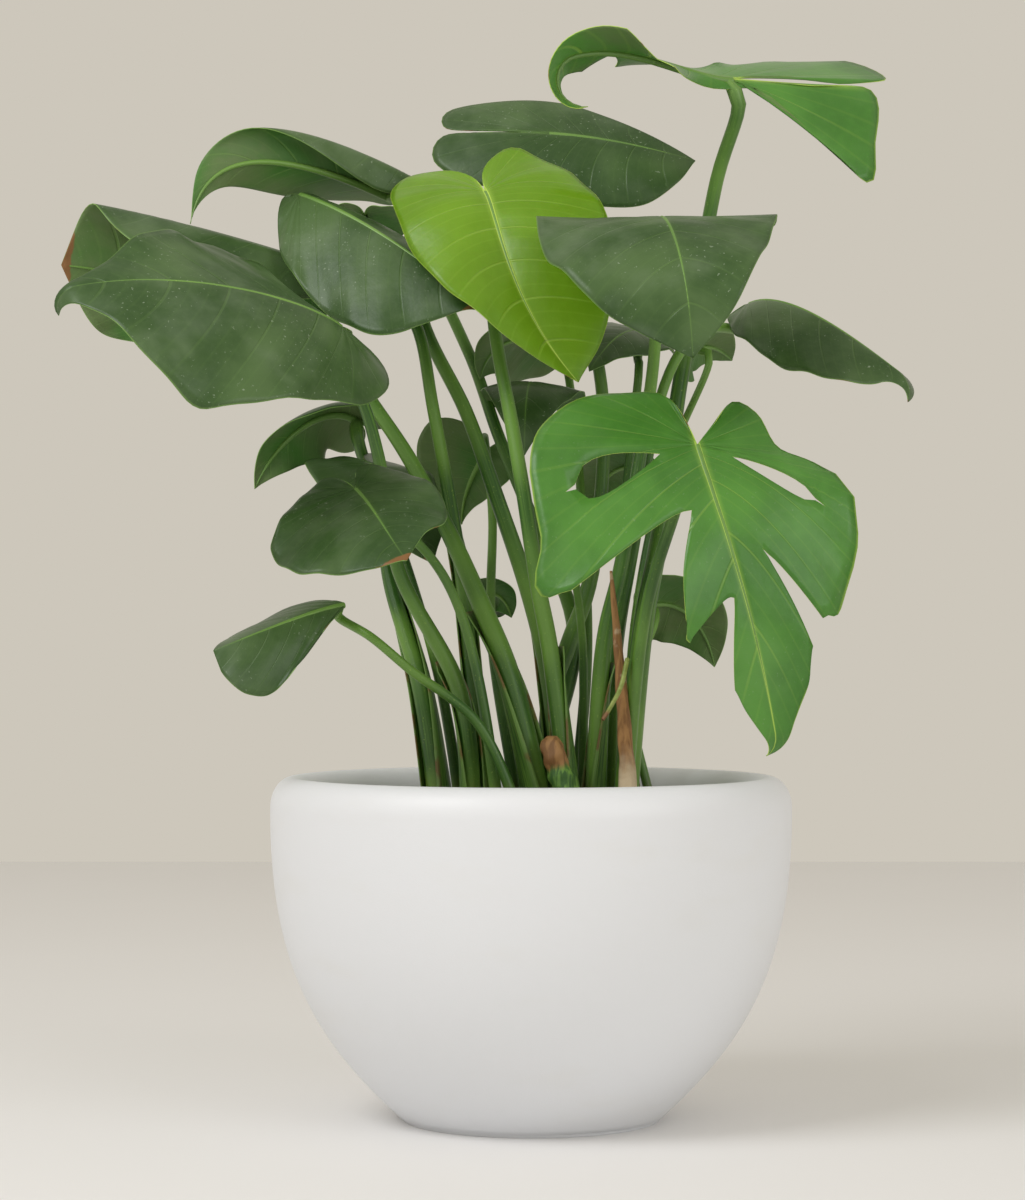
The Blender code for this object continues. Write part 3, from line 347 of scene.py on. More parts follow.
# Each stalk: where it stands in the soil, its radii at the foot and at the blade, and the points it passes
STALKS = {
    "front_left": ((-0.045, -0.02), (0.008, 0.0045), (
        (-0.055, -0.03, 0.33), (-0.1, -0.035, 0.42), (-0.115, -0.04, 0.505), (-0.13, -0.06, 0.555),
    )),
    "far_left": ((0.006, -0.03), (0.011, 0.005), (
        (-0.015, -0.035, 0.335), (-0.04, -0.03, 0.4), (-0.065, -0.02, 0.455), (-0.095, 0, 0.51),
        (-0.125, 0.01, 0.555), (-0.15, 0.03, 0.595),
    )),
    "curled_left": ((-0.07, 0.015), (0.01, 0.005), (
        (-0.085, 0.035, 0.33), (-0.11, 0.075, 0.41), (-0.12, 0.1, 0.47),
    )),
    "behind_heart": ((-0.055, 0.045), (0.005, 0.0035), (
        (-0.07, 0.045, 0.33), (-0.09, 0.04, 0.405), (-0.11, 0.045, 0.46),
    )),
    "heart_low": ((-0.025, -0.045), (0.005, 0.0035), (
        (-0.04, -0.05, 0.34), (-0.06, -0.055, 0.405), (-0.09, -0.075, 0.445),
    )),
    "low_left": ((-0.01, -0.06), (0.0045, 0.0035), (
        (-0.04, -0.06, 0.305), (-0.09, -0.06, 0.345), (-0.12, -0.06, 0.37),
    )),
    "dark_left": ((-0.035, 0.015), (0.007, 0.0045), (
        (-0.045, 0.01, 0.33), (-0.055, 0.01, 0.43), (-0.075, 0.01, 0.545), (-0.09, 0.025, 0.615),
        (-0.13, 0.045, 0.67),
    )),
    "top_left": ((0.026, 0.005), (0.009, 0.005), (
        (0.015, 0.005, 0.335), (0, 0.01, 0.4), (-0.025, 0.02, 0.475), (-0.05, 0.03, 0.545),
        (-0.085, 0.04, 0.62),
    )),
    "upper_back": ((0, 0.07), (0.007, 0.0045), (
        (0.035, 0.07, 0.365), (0.005, 0.08, 0.455), (-0.025, 0.09, 0.53), (-0.05, 0.11, 0.6),
        (-0.09, 0.13, 0.675),
    )),
    "young": ((0.03, -0.035), (0.008, 0.005), (
        (0.015, -0.035, 0.355), (0.005, -0.04, 0.41), (-0.005, -0.04, 0.475), (-0.015, -0.025, 0.535),
        (-0.028, -0.005, 0.61),
    )),
    "top_back": ((0.012, 0.045), (0.008, 0.0045), (
        (0.015, 0.045, 0.32), (0.03, 0.05, 0.365), (0.05, 0.06, 0.43), (0.058, 0.08, 0.555),
        (0.035, 0.07, 0.665),
    )),
    "dark_right": ((0.048, -0.02), (0.008, 0.0045), (
        (0.055, -0.02, 0.36), (0.07, -0.02, 0.43), (0.09, -0.02, 0.55), (0.095, -0.04, 0.61),
    )),
    "back_right": ((0.055, 0.045), (0.005, 0.0035), (
        (0.065, 0.05, 0.365), (0.075, 0.06, 0.48), (0.085, 0.055, 0.575),
    )),
    "right": ((0.062, 0.01), (0.006, 0.004), (
        (0.065, 0.005, 0.35), (0.08, -0.005, 0.445), (0.1, -0.005, 0.555), (0.13, 0, 0.605),
    )),
    "split_top": ((0.072, -0.015), (0.0095, 0.0055), (
        (0.085, -0.01, 0.37), (0.1, 0.01, 0.45), (0.115, 0.04, 0.555), (0.13, 0.045, 0.64),
        (0.145, 0.03, 0.725),
    )),
    "split_front": ((0.07, -0.042), (0.006, 0.0045), (
        (0.078, -0.05, 0.33), (0.088, -0.065, 0.4), (0.105, -0.1, 0.46),
    )),
    "small_dark": ((0.04, 0.025), (0.004, 0.003), ((0.04, 0.025, 0.37), (0.025, 0.03, 0.46))),
    "back_mid": ((0.035, 0.06), (0.005, 0.0035), ((0.045, 0.065, 0.365), (0.04, 0.105, 0.495))),
    "back_small": ((0.078, 0.042), (0.004, 0.003), ((0.08, 0.05, 0.365), (0.105, 0.08, 0.495))),
    "pale_mid": ((-0.01, 0.04), (0.005, 0.0035), ((-0.03, 0.05, 0.365), (-0.03, 0.085, 0.465))),
    "behind_split": ((0.06, 0.08), (0.004, 0.003), ((0.07, 0.09, 0.365), (0.08, 0.1, 0.445))),
    "low_right": ((0.095, 0.065), (0.004, 0.003), ((0.08, 0.08, 0.32),)),
    "low_mid": ((-0.03, 0.06), (0.004, 0.003), ((-0.04, 0.065, 0.335),)),
}

# How far back from its tip a blade has dried brown, as a share of its length
DRY_TIPS = {"far_left": 0.05, "heart_low": 0.1, "dark_left": 0.05, "behind_heart": 0.12}

# Sheaths: the share of the stalk that each wraps, the way it opens, and how far its edges stand off
SHEATHS = {
    "curled_left": {"top": 0.62, "opens": (-0.6, -0.8), "flare": 0.9},
    "front_left": {"top": 0.34, "opens": (0.5, -0.9), "flare": 0.8},
    "far_left": {"top": 0.40, "opens": (0.8, -0.6), "flare": 1.0},
    "dark_left": {"top": 0.45, "opens": (0.3, -0.9), "flare": 0.9},
    "top_left": {"top": 0.35, "opens": (-0.4, -0.9), "flare": 0.8},
    "young": {"top": 0.30, "opens": (-0.7, -0.7), "flare": 0.7},
    "dark_right": {"top": 0.30, "opens": (-0.9, -0.4), "flare": 0.9},
    "split_top": {"top": 0.16, "opens": (0.9, -0.4), "flare": 0.6},
}


def unit(v):
    return v / np.linalg.norm(v, axis=-1, keepdims=True)


def smooth_step(low, high, x):
    k = np.clip((x - low) / (high - low), 0, 1)
    return k * k * (3 - 2 * k)


def bezier(points, t):
    """Points on a cubic Bezier curve."""
    a, b, c, d = (np.asarray(p, float) for p in points)
    t = np.asarray(t, float)[..., None]
    return (1 - t) ** 3 * a + 3 * (1 - t) ** 2 * t * b + 3 * (1 - t) * t**2 * c + t**3 * d


def smooth_through(points, share):
    """Catmull-Rom curve through the points, at a share of its chord length."""
    p = np.asarray(points, float)
    chords = np.linalg.norm(np.diff(p, axis=0), axis=1)
    at = np.concatenate([[0], np.cumsum(chords)]) / chords.sum()
    share = np.asarray(share, float)
    i = np.clip(np.searchsorted(at, share, side="right") - 1, 0, len(p) - 2)
    u = ((share - at[i]) / (at[i + 1] - at[i]))[..., None]
    padded = np.vstack([2 * p[0] - p[1], p, 2 * p[-1] - p[-2]])
    a, b, c, d = padded[i], padded[i + 1], padded[i + 2], padded[i + 3]
    return 0.5 * (2 * b + (c - a) * u + (2 * a - 5 * b + 4 * c - d) * u**2 + (3 * b - a - 3 * c + d) * u**3)


def of_half(value, side):
    """A blade's value for its left half (side -1) or its right half (side 1)."""
    return value[(side + 1) // 2]


class Blade:
    """One leaf blade as a surface over (t, s)."""

    def __init__(self, changes):
        self.spec = {**PLAIN_LEAF, **changes}
        line = bezier(self.spec["rib"], np.linspace(0, 1, 61))
        face, tip_face = np.broadcast_to(np.asarray(self.spec["face"], float), (2, 3))
        line = np.vstack([line, self.drip_tip(line, tip_face)])
        steps = np.linalg.norm(np.diff(line, axis=0), axis=1)
        self.line = line
        self.arc = np.concatenate([[0], np.cumsum(steps)])
        self.length = self.arc[-1]
        self.along = unit(np.gradient(line, self.arc, axis=0))
        k = (self.arc / self.length)[:, None]
        k = k * k * (3 - 2 * k)
        looks = face * (1 - k) + tip_face * k
        self.up = unit(looks - (looks * self.along).sum(-1, keepdims=True) * self.along)
        for i in range(61, len(line)):
            carried = self.up[i - 1] - (self.up[i - 1] @ self.along[i]) * self.along[i]
            self.up[i] = unit(carried)

    def drip_tip(self, line, tip_face):
        """The long tip, which turns on past the end of the midrib."""
        length, turn, sideways = self.spec["drip"]
        if length == 0:
            return np.empty((0, 3))
        ahead = unit(line[-1] - line[-2])
        up = unit(tip_face - (tip_face @ ahead) * ahead)
        aside = np.cross(ahead, up)
        towards = aside * np.sin(np.radians(sideways)) - up * np.cos(np.radians(sideways))
        angles = np.radians(turn) * np.arange(1, 13)[:, None] / 12
        return line[-1] + np.cumsum(np.cos(angles) * ahead + np.sin(angles) * towards, axis=0) * length / 12

    def frame(self, y):
        """Centre, up and sideways directions at y along the midrib; y is negative behind the stalk."""
        at = np.clip(y, 0, self.length)

        def read(table):
            return np.stack([np.interp(at, self.arc, table[:, i]) for i in range(3)], -1)

        centre, along, up = read(self.line), unit(read(self.along)), unit(read(self.up))
        aside = unit(np.cross(along, up))
        bend = np.radians(self.spec["back"]) / self.length
        turned = (-np.minimum(y, 0) * bend)[..., None]
        centre = centre - (np.sin(turned) * along + (1 - np.cos(turned)) * up) / bend
        return centre, up * np.cos(turned) - along * np.sin(turned), aside

    def margin(self, t, side):
        """The flat outline: distance across and distance along."""
        own = self.spec["outline_left" if side < 0 else "outline_right"]
        if own:
            return smooth_through([(0, 0), *own, (0, self.length)], t)
        half = of_half(self.spec["wide"], side)
        reach = self.spec["lobe"] * sum(self.spec["wide"])
        belly = self.spec["belly"] * self.length
        towards_tip = (self.spec["full"] * half, 0.82 * self.length)
        lobe = ((0, 0), (0.03 * half, -1.3 * reach), (half, -1.7 * reach), (half, belly))
        front = (lobe[-1], (half, belly + 0.35 * self.length), towards_tip, (0, self.length))
        round_lobe = bezier(lobe, np.clip(t / LOBE_SHARE, 0, 1))
        to_tip = bezier(front, np.clip((t - LOBE_SHARE) / (1 - LOBE_SHARE), 0, 1))
        return np.where((t < LOBE_SHARE)[..., None], round_lobe, to_tip)

    def vein_start(self, t, side):
        """How far along the midrib the vein that ends at margin share t begins."""
        past_fan = np.clip((t - FAN_SHARE) / (1 - FAN_SHARE), 0, 1)
        return self.length * past_fan ** of_half(self.spec["sweep"], side)

    def vein_at(self, y, side):
        """The margin share whose vein begins at distance y."""
        return FAN_SHARE + (1 - FAN_SHARE) * (y / self.length) ** (1 / of_half(self.spec["sweep"], side))

    def point(self, t, s, side):
        """The points of the folded, curled and quilted blade at (t, s), and their flat places."""
        edge = self.margin(t, side)
        start = self.vein_start(t, side)
        past_fan = np.clip((t - FAN_SHARE) / 0.4, 0, 1)
        bow = of_half(self.spec["bow"], side) * s * (1 - s) * edge[..., 0] * past_fan
        x = s * edge[..., 0]
        y = start + s * (edge[..., 1] - start) - bow
        centre, up, aside = self.frame(y)
        along = np.clip(y / self.length, 0, 1)
        across, lift = self.bent(x, along, side)
        half = of_half(self.spec["wide"], side)
        inside = np.sqrt(np.clip(np.sin(np.pi * t), 0, 1))
        slow = self.spec["ruffle"] * np.sin(2 * np.pi * (3 * t + 0.17 * side)) * s**3
        quick = 0.25 * self.spec["ruffle"] * np.sin(2 * np.pi * (8 * t + 0.31 * side)) * s**4
        swell = QUILTING * (np.sin(np.pi * VEINS * t) ** 2 - 0.5) * np.sqrt(s * (1 - s)) * 2
        groove = 0.0006 * np.exp(-((x / 0.002) ** 2)) * (1 - along)
        lift = lift + half * inside * (slow + quick + swell) - groove
        place = centre + side * across[..., None] * aside + lift[..., None] * up
        return place, x, along

    def bent(self, x, k, side):
        """Across and up at distance x from the midrib, at share k of its length."""
        fold_a, curl_a, fold_b, curl_b = np.radians(self.spec["left" if side < 0 else "right"])
        fold = fold_a * (1 - k) + fold_b * k
        curl = curl_a * (1 - k) + curl_b * k
        half = of_half(self.spec["wide"], side)
        first, last = (half * share for share in (self.spec["crease"] if side < 0 else (0, 1)))
        bend = np.where(np.abs(curl) < 1e-3, 1e-3, curl) / (last - first)
        flat = np.minimum(x, first)
        turning = np.clip(x - first, 0, last - first)
        rest = np.maximum(x - last, 0)
        ends = fold + bend * turning
        across = flat * np.cos(fold) + (np.sin(ends) - np.sin(fold)) / bend + rest * np.cos(ends)
        lift = flat * np.sin(fold) + (np.cos(fold) - np.cos(ends)) / bend + rest * np.sin(ends)
        return across, lift

    def slits(self, side):
        return sorted(self.spec["slits_left" if side < 0 else "slits_right"])

    def rib_stations(self):
        """Distances along the midrib where both halves have a row, with one at each slit's vein."""
        slit_starts = [float(self.vein_start(slit[0], side)) for side in (-1, 1) for slit in self.slits(side)]
        apart = 0.4 * self.length / RIB_ROWS
        even = np.linspace(0, self.length, RIB_ROWS + 1)[1:-1]
        kept = [y for y in even if all(abs(y - start) > apart for start in slit_starts)]
        return sorted({0, self.length, *kept, *(y for y in slit_starts if y > 0)})

    def fingers(self, side):
        """The (t, s) grids of one half, one for each finger between its slits."""
        lobe = set(np.linspace(0, FAN_SHARE, LOBE_ROWS + 1)[:-1])
        rows = lobe | {float(self.vein_at(y, side)) for y in self.rib_stations()}
        rows |= {slit[0] for slit in self.slits(side)}
        bounds = [(0, None), *((slit[0], slit) for slit in self.slits(side)), (1, None)]
        s = np.linspace(0, 1, COLUMNS + 1)[None, :] ** 1.15
        for (first, slit_a), (last, slit_b) in zip(bounds, bounds[1:]):
            inner = sorted(t for t in rows if first + 1e-4 < t < last - 1e-4)
            share = (np.array([first, *inner, last])[:, None] - first) / (last - first)
            low, high = first + slit_gap(s, slit_a), last - slit_gap(s, slit_b)
            corner = finger_corner(share, slit_a, 0.18) + finger_corner(1 - share, slit_b, 0.12)
            yield low + share * (high - low), s * (1 - 0.07 * corner * s**2)


def slit_gap(s, slit):
    """A slit's half width, as a margin share, at share s across the blade."""
    if slit is None:
        return 0 * s
    _, start, end, width = slit
    if end < 1:
        middle, reach = (start + end) / 2, (end - start) / 2
        return width * np.sqrt(np.clip(1 - ((s - middle) / reach) ** 2, 0, 1))
    opened = np.clip((s - start) / (1 - start), 0, 1)
    return width * np.sqrt(opened) * (0.6 + 0.4 * opened)


def finger_corner(share, slit, reach):
    """How strongly a finger's corner beside an open slit is rounded off."""
    if slit is None or slit[2] < 1:
        return 0 * share
    return np.exp(-((share / reach) ** 2))


class Sheet:
    """Grids of points gathered into one mesh, with their UV maps."""

    def __init__(self):
        self.points, self.faces, self.uvs = [], [], []
        self.count = 0

    def add(self, points, uvs, flipped=False, looped=False):
        """A grid of points; each uv map is a grid of pairs. looped joins the last column to the first."""
        rows, columns = points.shape[:2]
        index = np.arange(rows * columns).reshape(rows, columns) + self.count
        self.count += rows * columns
        if looped:
            index = np.concatenate([index, index[:, :1]], axis=1)
        corners = [index[:-1, :-1], index[1:, :-1], index[1:, 1:], index[:-1, 1:]]
        quads = np.stack(corners, axis=-1).reshape(-1, 4)
        self.points.append(points.reshape(-1, 3))
        self.uvs.append(np.stack(uvs, axis=2).reshape(rows * columns, len(uvs), 2))
        self.faces.append(quads[:, ::-1] if flipped else quads)

    def mesh(self, name, maps):
        data = bpy.data.meshes.new(name)
        faces = np.concatenate(self.faces)
        data.from_pydata(np.concatenate(self.points).tolist(), [], faces.tolist())
        values = np.concatenate(self.uvs)[faces.reshape(-1)]
        for i, uv_name in enumerate(maps):
            layer = data.uv_layers.new(name=uv_name)
            layer.data.foreach_set("uv", values[:, i].astype(np.float32).ravel())
        joined = bmesh.new()
        joined.from_mesh(data)
        bmesh.ops.remove_doubles(joined, verts=joined.verts, dist=2e-6)
        joined.to_mesh(data)
        joined.free()
        data.shade_smooth()
        return data


def shown(name, data, materials, slot, *nodes):
    """A finished piece that rides on the root body and stands for CAD nodes."""
    made = bpy.data.objects.new(name, data)
    bpy.context.scene.collection.objects.link(made)
    for item in materials:
        data.materials.append(item)
    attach(made, "root")
    if nodes:
        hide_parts(*nodes)
    return made


def thicken(made, thickness, under=0, edge=0):
    """Gives a surface its thickness, with other materials for its under face and its edge."""
    solid = made.modifiers.new("thickness", "SOLIDIFY")
    solid.thickness = thickness
    solid.offset = 0
    solid.material_offset = under
    solid.material_offset_rim = edge


def leaf_piece(name, blade, looks):
    """A blade with its upper face, its paler under face and its thin margin."""
    sheet = Sheet()
    for side in (-1, 1):
        for t, s in blade.fingers(side):
            t = t + 0 * s
            s = s + 0 * t
            place, x, along = blade.point(t, s, side)
            rib = x / (RIB_HALF_WIDTH * (1.1 - along))
            dry = smooth_step(0.98 - DRY_TIPS[name], 1, along) if name in DRY_TIPS else 0 * t
            sheet.add(place, [pairs(t * VEINS, s), pairs(rib, dry)], side > 0)
    colour = blade.spec["colour"]
    data = sheet.mesh("blade_" + name, ("veins", "rib"))
    made = shown("blade_" + name, data, looks[colour], "leaf_" + colour, "leaf_" + name)
    thicken(made, BLADE_THICKNESS, under=1, edge=2)


def around(line, first_side):
    """Two directions across a line at each of its points, carried along it without twisting."""
    along = unit(np.gradient(line, axis=0))
    side = [first_side - (first_side @ along[0]) * along[0]]
    for direction in along[1:]:
        side.append(side[-1] - (side[-1] @ direction) * direction)
    side = unit(np.array(side))
    return side, np.cross(along, side)


def stalk_line(root, through, top_radius, blade):
    """The stalk's centre line: straight up through the soil, along its guides, and in under the blade."""
    x, y = root
    up, along, start = blade.up[0], blade.along[0], blade.line[0]
    arrive = start - up * (0.6 * top_radius + 0.019) - along * 0.006
    end = start - up * 0.5 * top_radius + along * 0.004
    guides = [(x, y, SOIL_EDGE - 0.01), (x, y, SOIL_CROWN + 0.008), *through, arrive, end]
    return smooth_through(guides, np.linspace(0, 1, STALK_STEPS))


def lengths(line):
    return np.concatenate([[0], np.cumsum(np.linalg.norm(np.diff(line, axis=0), axis=1))])


def round_angles(sides):
    return np.linspace(0, 2 * np.pi, sides, endpoint=False)


def ring_of(angle, side, other):
    """Unit directions round a line, a row for each of its points; angle is one row, or one for each point."""
    angle = np.atleast_2d(angle)[..., None]
    return np.cos(angle) * side[:, None] + np.sin(angle) * other[:, None]


def pairs(a, b):
    """A grid of pairs from two values that spread over one grid."""
    return np.stack(np.broadcast_arrays(a, b), -1)


def stalk_piece(name, blade, looks):
    """A stalk with its groove and knuckle, its sheath if it has one, and the rib under the blade."""
    root, (base, top), through = STALKS[name]
    line = stalk_line(root, through, top, blade)
    run = lengths(line)
    share = run / run[-1]
    radius = top + (base - top) * (1 - share) ** 1.6
    to_end = run[-1] - run
    from_knuckle = (to_end - 0.6 * KNUCKLE_LENGTH) / (0.5 * KNUCKLE_LENGTH)
    radius = radius * (1 + KNUCKLE_SWELL * np.exp(-(from_knuckle**2)))
    radius = radius * (0.62 + 0.38 * smooth_step(0, 0.006, to_end))
    side, other = around(line, TOWARDS_FRONT)
    angle = round_angles(STALK_SIDES)
    grooved = np.exp(-(((angle - np.pi / 2) / 0.5) ** 2)) * smooth_step(0.2, 0.5, share)[:, None]
    reach = (radius[:, None] * (1 - GROOVE_DEPTH * grooved))[..., None]
    points = line[:, None] + reach * ring_of(angle, side, other)
    paleness = smooth_step(KNUCKLE_LENGTH * 1.5, 0, to_end)
    uv = pairs(angle[None] / (2 * np.pi), run[:, None])
    sheet = Sheet()
    sheet.add(points, [uv, pairs(0 * angle[None], paleness[:, None])], looped=True)
    under_rib(sheet, blade, 0.62 * top)
    data = sheet.mesh("petiole_" + name, ("strip", "tone"))
    shown("petiole_" + name, data, (looks["stalk"],), "stalk", "stalk_" + name)
    if name in SHEATHS:
        sheath_piece(name, line, radius, looks)


def under_rib(sheet, blade, radius):
    """The midrib's raised back, tapering along the underside to the tip."""
    at = np.linspace(0, 0.97 * blade.length, UNDER_RIB_STEPS)
    centre, up, aside = blade.frame(at)
    reach = radius * (1 - at / blade.length) ** 0.7 + 0.0003
    centre = centre - up * (0.8 * reach)[:, None]
    angle = round_angles(UNDER_RIB_SIDES)
    points = centre[:, None] + reach[:, None, None] * ring_of(angle, aside, up)
    uv = pairs(angle[None] / (2 * np.pi), at[:, None])
    sheet.add(points, [uv, pairs(0 * angle[None], 0 * at[:, None] + 0.8)], looped=True)


def sheath_piece(name, line, radius, looks):
    """A green wrapper round the foot of a stalk, open down one side, with a free pointed top."""
    spec = SHEATHS[name]
    opens = np.array([*spec["opens"], 0.0])
    run = lengths(line) / lengths(line)[-1]
    keep = run <= spec["top"]
    back, other = (v[keep] for v in around(line, -opens))
    k = (run[keep] / spec["top"])[:, None]
    q = np.linspace(-1, 1, 17)[None, :]
    half_angle = np.radians(SHEATH_WRAP) * (1 - k) ** 0.45 + np.radians(8)
    angle = q * half_angle
    stand_off = 1.05 + spec["flare"] * np.maximum(np.abs(q) - 0.55, 0) * (1 - 0.5 * k)
    stand_off = stand_off + 0.35 * smooth_step(0.8, 1, k)
    reach = (radius[keep][:, None] * stand_off + 0.0004)[..., None]
    sheet = Sheet()
    sheet.add(line[keep][:, None] + reach * ring_of(angle, back, other), [pairs(q, k)], flipped=True)
    made = shown("sheath_" + name, sheet.mesh("sheath_" + name, ("sheath",)), (looks["sheath"],), "stalk")
    thicken(made, SHEATH_THICKNESS)


class Finish:
    """A material under construction: one Principled BSDF and the procedural nodes that feed it."""

    def __init__(self, name, roughness):
        self.material = bpy.data.materials.new(name)
        self.material.use_nodes = True
        self.tree = self.material.node_tree
        self.shader = self.tree.nodes["Principled BSDF"]
        self.give(self.shader, "Roughness", roughness)

    def give(self, node, socket, value):
        """Links a socket to another node's output, or sets its value."""
        target = node.inputs[socket]
        if isinstance(value, bpy.types.NodeSocket):
            self.tree.links.new(value, target)
        elif isinstance(value, tuple) and target.type == "RGBA":
            target.default_value = (*value, 1)
        else:
            target.default_value = value

    def add(self, kind, inputs=(), **settings):
        """A new node with its settings and the sockets given in inputs."""
        made = self.tree.nodes.new(kind)
        for name, value in settings.items():
            setattr(made, name, value)
        for socket, value in dict(inputs).items():
            self.give(made, socket, value)
        return made

    def math(self, operation, a, b=0.0):
        return self.add("ShaderNodeMath", {0: a, 1: b}, operation=operation).outputs[0]

    def share(self, value, part):
        return self.math("MULTIPLY", value, part)

    def step(self, value, low, high):
        """0 below low and 1 above high, smooth between them; low may be above high."""
        inputs = {"Value": value, "From Min": low, "From Max": high}
        return self.add("ShaderNodeMapRange", inputs, interpolation_type="SMOOTHSTEP").outputs[0]

    def mix(self, share, a, b):
        return self.add("ShaderNodeMix", {0: share, 6: a, 7: b}, data_type="RGBA").outputs[2]

    def noise(self, scale, detail=3.0, stretch=(1, 1, 1)):
        """Noise in the object's own space, drawn out where stretch is under 1."""
        place = self.add("ShaderNodeTexCoord").outputs["Object"]
        drawn = self.add("ShaderNodeMapping", {"Vector": place, "Scale": stretch}).outputs[0]
        return self.add("ShaderNodeTexNoise", {"Vector": drawn, "Scale": scale, "Detail": detail}).outputs[0]

    def strip_noise(self, uv_name, across, along, detail=3.0):
        """Noise drawn out along a strip and mirrored about its middle, so that a tube shows no seam."""
        sideways, forwards = self.uv(uv_name)
        mirrored = self.share(self.math("PINGPONG", sideways, 0.5), across)
        place = self.add("ShaderNodeCombineXYZ", {0: mirrored, 1: self.share(forwards, along)}).outputs[0]
        return self.add("ShaderNodeTexNoise", {"Vector": place, "Scale": 1.0, "Detail": detail}).outputs[0]

    def height(self):
        place = self.add("ShaderNodeTexCoord").outputs["Object"]
        return self.add("ShaderNodeSeparateXYZ", {0: place}).outputs[2]

    def uv(self, name):
        """The two values of one UV map."""
        source = self.add("ShaderNodeUVMap", uv_map=name).outputs[0]
        return self.add("ShaderNodeSeparateXYZ", {0: source}).outputs[:2]

    def line(self, value, width):
        """1 on the nearest whole number and 0 further from it than width."""
        away = self.math("PINGPONG", value, 0.5)
        return self.step(away, width, 0.3 * width)

    def bump(self, height, distance, strength=1.0):
        inputs = {"Height": height, "Distance": distance, "Strength": strength}
        self.give(self.shader, "Normal", self.add("ShaderNodeBump", inputs).outputs[0])

    def colour(self, value):
        self.give(self.shader, "Base Color", value)


def leaf_face(name, deep, light, vein, dust, glow, veins_show, rib_shows, roughness):
    """One face of a blade: mottled green, paler along its veins and midrib, with dust and a dry tip."""
    finish = Finish(name, roughness)
    finish.give(finish.shader, "Specular IOR Level", 0.32)
    round_margin, across = finish.uv("veins")
    from_rib, dry = finish.uv("rib")
    fine = finish.noise(160.0)
    green = finish.mix(finish.step(finish.noise(14.0, 4.0), 0.38, 0.68), deep, light)
    green = finish.mix(finish.share(finish.step(fine, 0.40, 0.75), 0.20), green, light)
    half_way = finish.line(finish.math("MULTIPLY", round_margin, 3.0), 0.10)
    green = finish.mix(finish.share(half_way, 0.30 * veins_show), green, vein)
    thinning = finish.step(across, 1.2, 0.0)
    main_vein = finish.math("MULTIPLY", finish.line(round_margin, 0.040), thinning)
    green = finish.mix(finish.share(main_vein, veins_show), green, vein)
    green = finish.mix(finish.share(finish.step(from_rib, 3.5, 0.9), 0.25 * rib_shows), green, vein)
    green = finish.mix(finish.share(finish.step(from_rib, 1.3, 0.8), rib_shows), green, vein)
    film = finish.share(finish.step(finish.noise(26.0, 6.0), 0.46, 0.78), dust)
    specks = finish.share(finish.step(finish.noise(430.0, 2.0), 0.66, 0.74), min(1.0, 4.0 * dust))
    patchy = finish.math("MULTIPLY", specks, finish.step(finish.noise(20.0), 0.40, 0.60))
    green = finish.mix(finish.math("MAXIMUM", film, patchy), green, DUST)
    green = finish.mix(finish.share(finish.step(across, 0.985, 1.0), 0.5), green, vein)
    worn = finish.step(finish.math("ADD", dry, finish.share(fine, 0.5)), 0.62, 0.80)
    finish.colour(finish.mix(worn, green, DRY_BROWN))
    relief = finish.math("SUBTRACT", finish.share(fine, 0.35), finish.share(main_vein, 0.6))
    finish.bump(relief, 0.0009, 0.7)
    if glow:
        finish.give(finish.shader, "Subsurface Weight", glow)
        finish.shader.inputs["Subsurface Radius"].default_value = (0.4, 1.0, 0.15)
        finish.give(finish.shader, "Subsurface Scale", 0.004)
    return finish.material


def leaf_edge(name, green):
    """The cut-thin margin, a little yellower than the blade and browned here and there."""
    finish = Finish(name, 0.5)
    browned = finish.step(finish.noise(60.0, 2.0), 0.60, 0.72)
    finish.colour(finish.mix(browned, green, DRY_BROWN))
    return finish.material


def stalk_finish():
    """Green in long soft streaks, paler at the knuckle below the blade, browned near the soil."""
    finish = Finish("stalk_skin", 0.40)
    paleness = finish.uv("tone")[1]
    streaks = finish.strip_noise("strip", 14.0, 9.0)
    patches = finish.noise(9.0, 2.0)
    green = finish.mix(finish.step(patches, 0.40, 0.62), STALK_GREEN, STALK_PALE)
    green = finish.mix(finish.share(finish.step(streaks, 0.42, 0.70), 0.55), green, STALK_PALE)
    green = finish.mix(finish.share(paleness, 0.6), green, VEIN_GREEN)
    low = finish.math("ADD", finish.height(), finish.share(streaks, 0.06))
    browned = finish.step(low, SOIL_CROWN + 0.065, SOIL_CROWN + 0.020)
    green = finish.mix(finish.share(browned, 0.8), green, DRY_BROWN)
    specks = finish.share(finish.step(finish.noise(700.0, 1.0), 0.68, 0.78), 0.35)
    finish.colour(finish.mix(specks, green, LEMON_GREEN))
    finish.bump(streaks, 0.0005, 0.5)
    return finish.material


def sheath_finish():
    """A wrapper streaked lengthwise, with a thin pale edge that has dried in places."""
    finish = Finish("sheath_skin", 0.45)
    across, up = finish.uv("sheath")
    streaks = finish.strip_noise("sheath", 22.0, 3.0)
    green = finish.mix(finish.step(streaks, 0.38, 0.68), STALK_GREEN, STALK_PALE)
    brown = finish.share(finish.step(finish.strip_noise("sheath", 7.0, 1.6), 0.58, 0.70), 0.7)
    green = finish.mix(brown, green, DRY_BROWN)
    edge = finish.step(finish.math("ABSOLUTE", across), 0.84, 0.98)
    dried = finish.step(finish.noise(40.0, 2.0), 0.48, 0.60)
    green = finish.mix(finish.share(edge, 0.75), green, finish.mix(dried, VEIN_GREEN, DRY_BROWN))
    finish.colour(finish.mix(finish.step(up, 0.95, 1.0), green, DRY_BROWN))
    finish.bump(streaks, 0.0007, 0.6)
    return finish.material


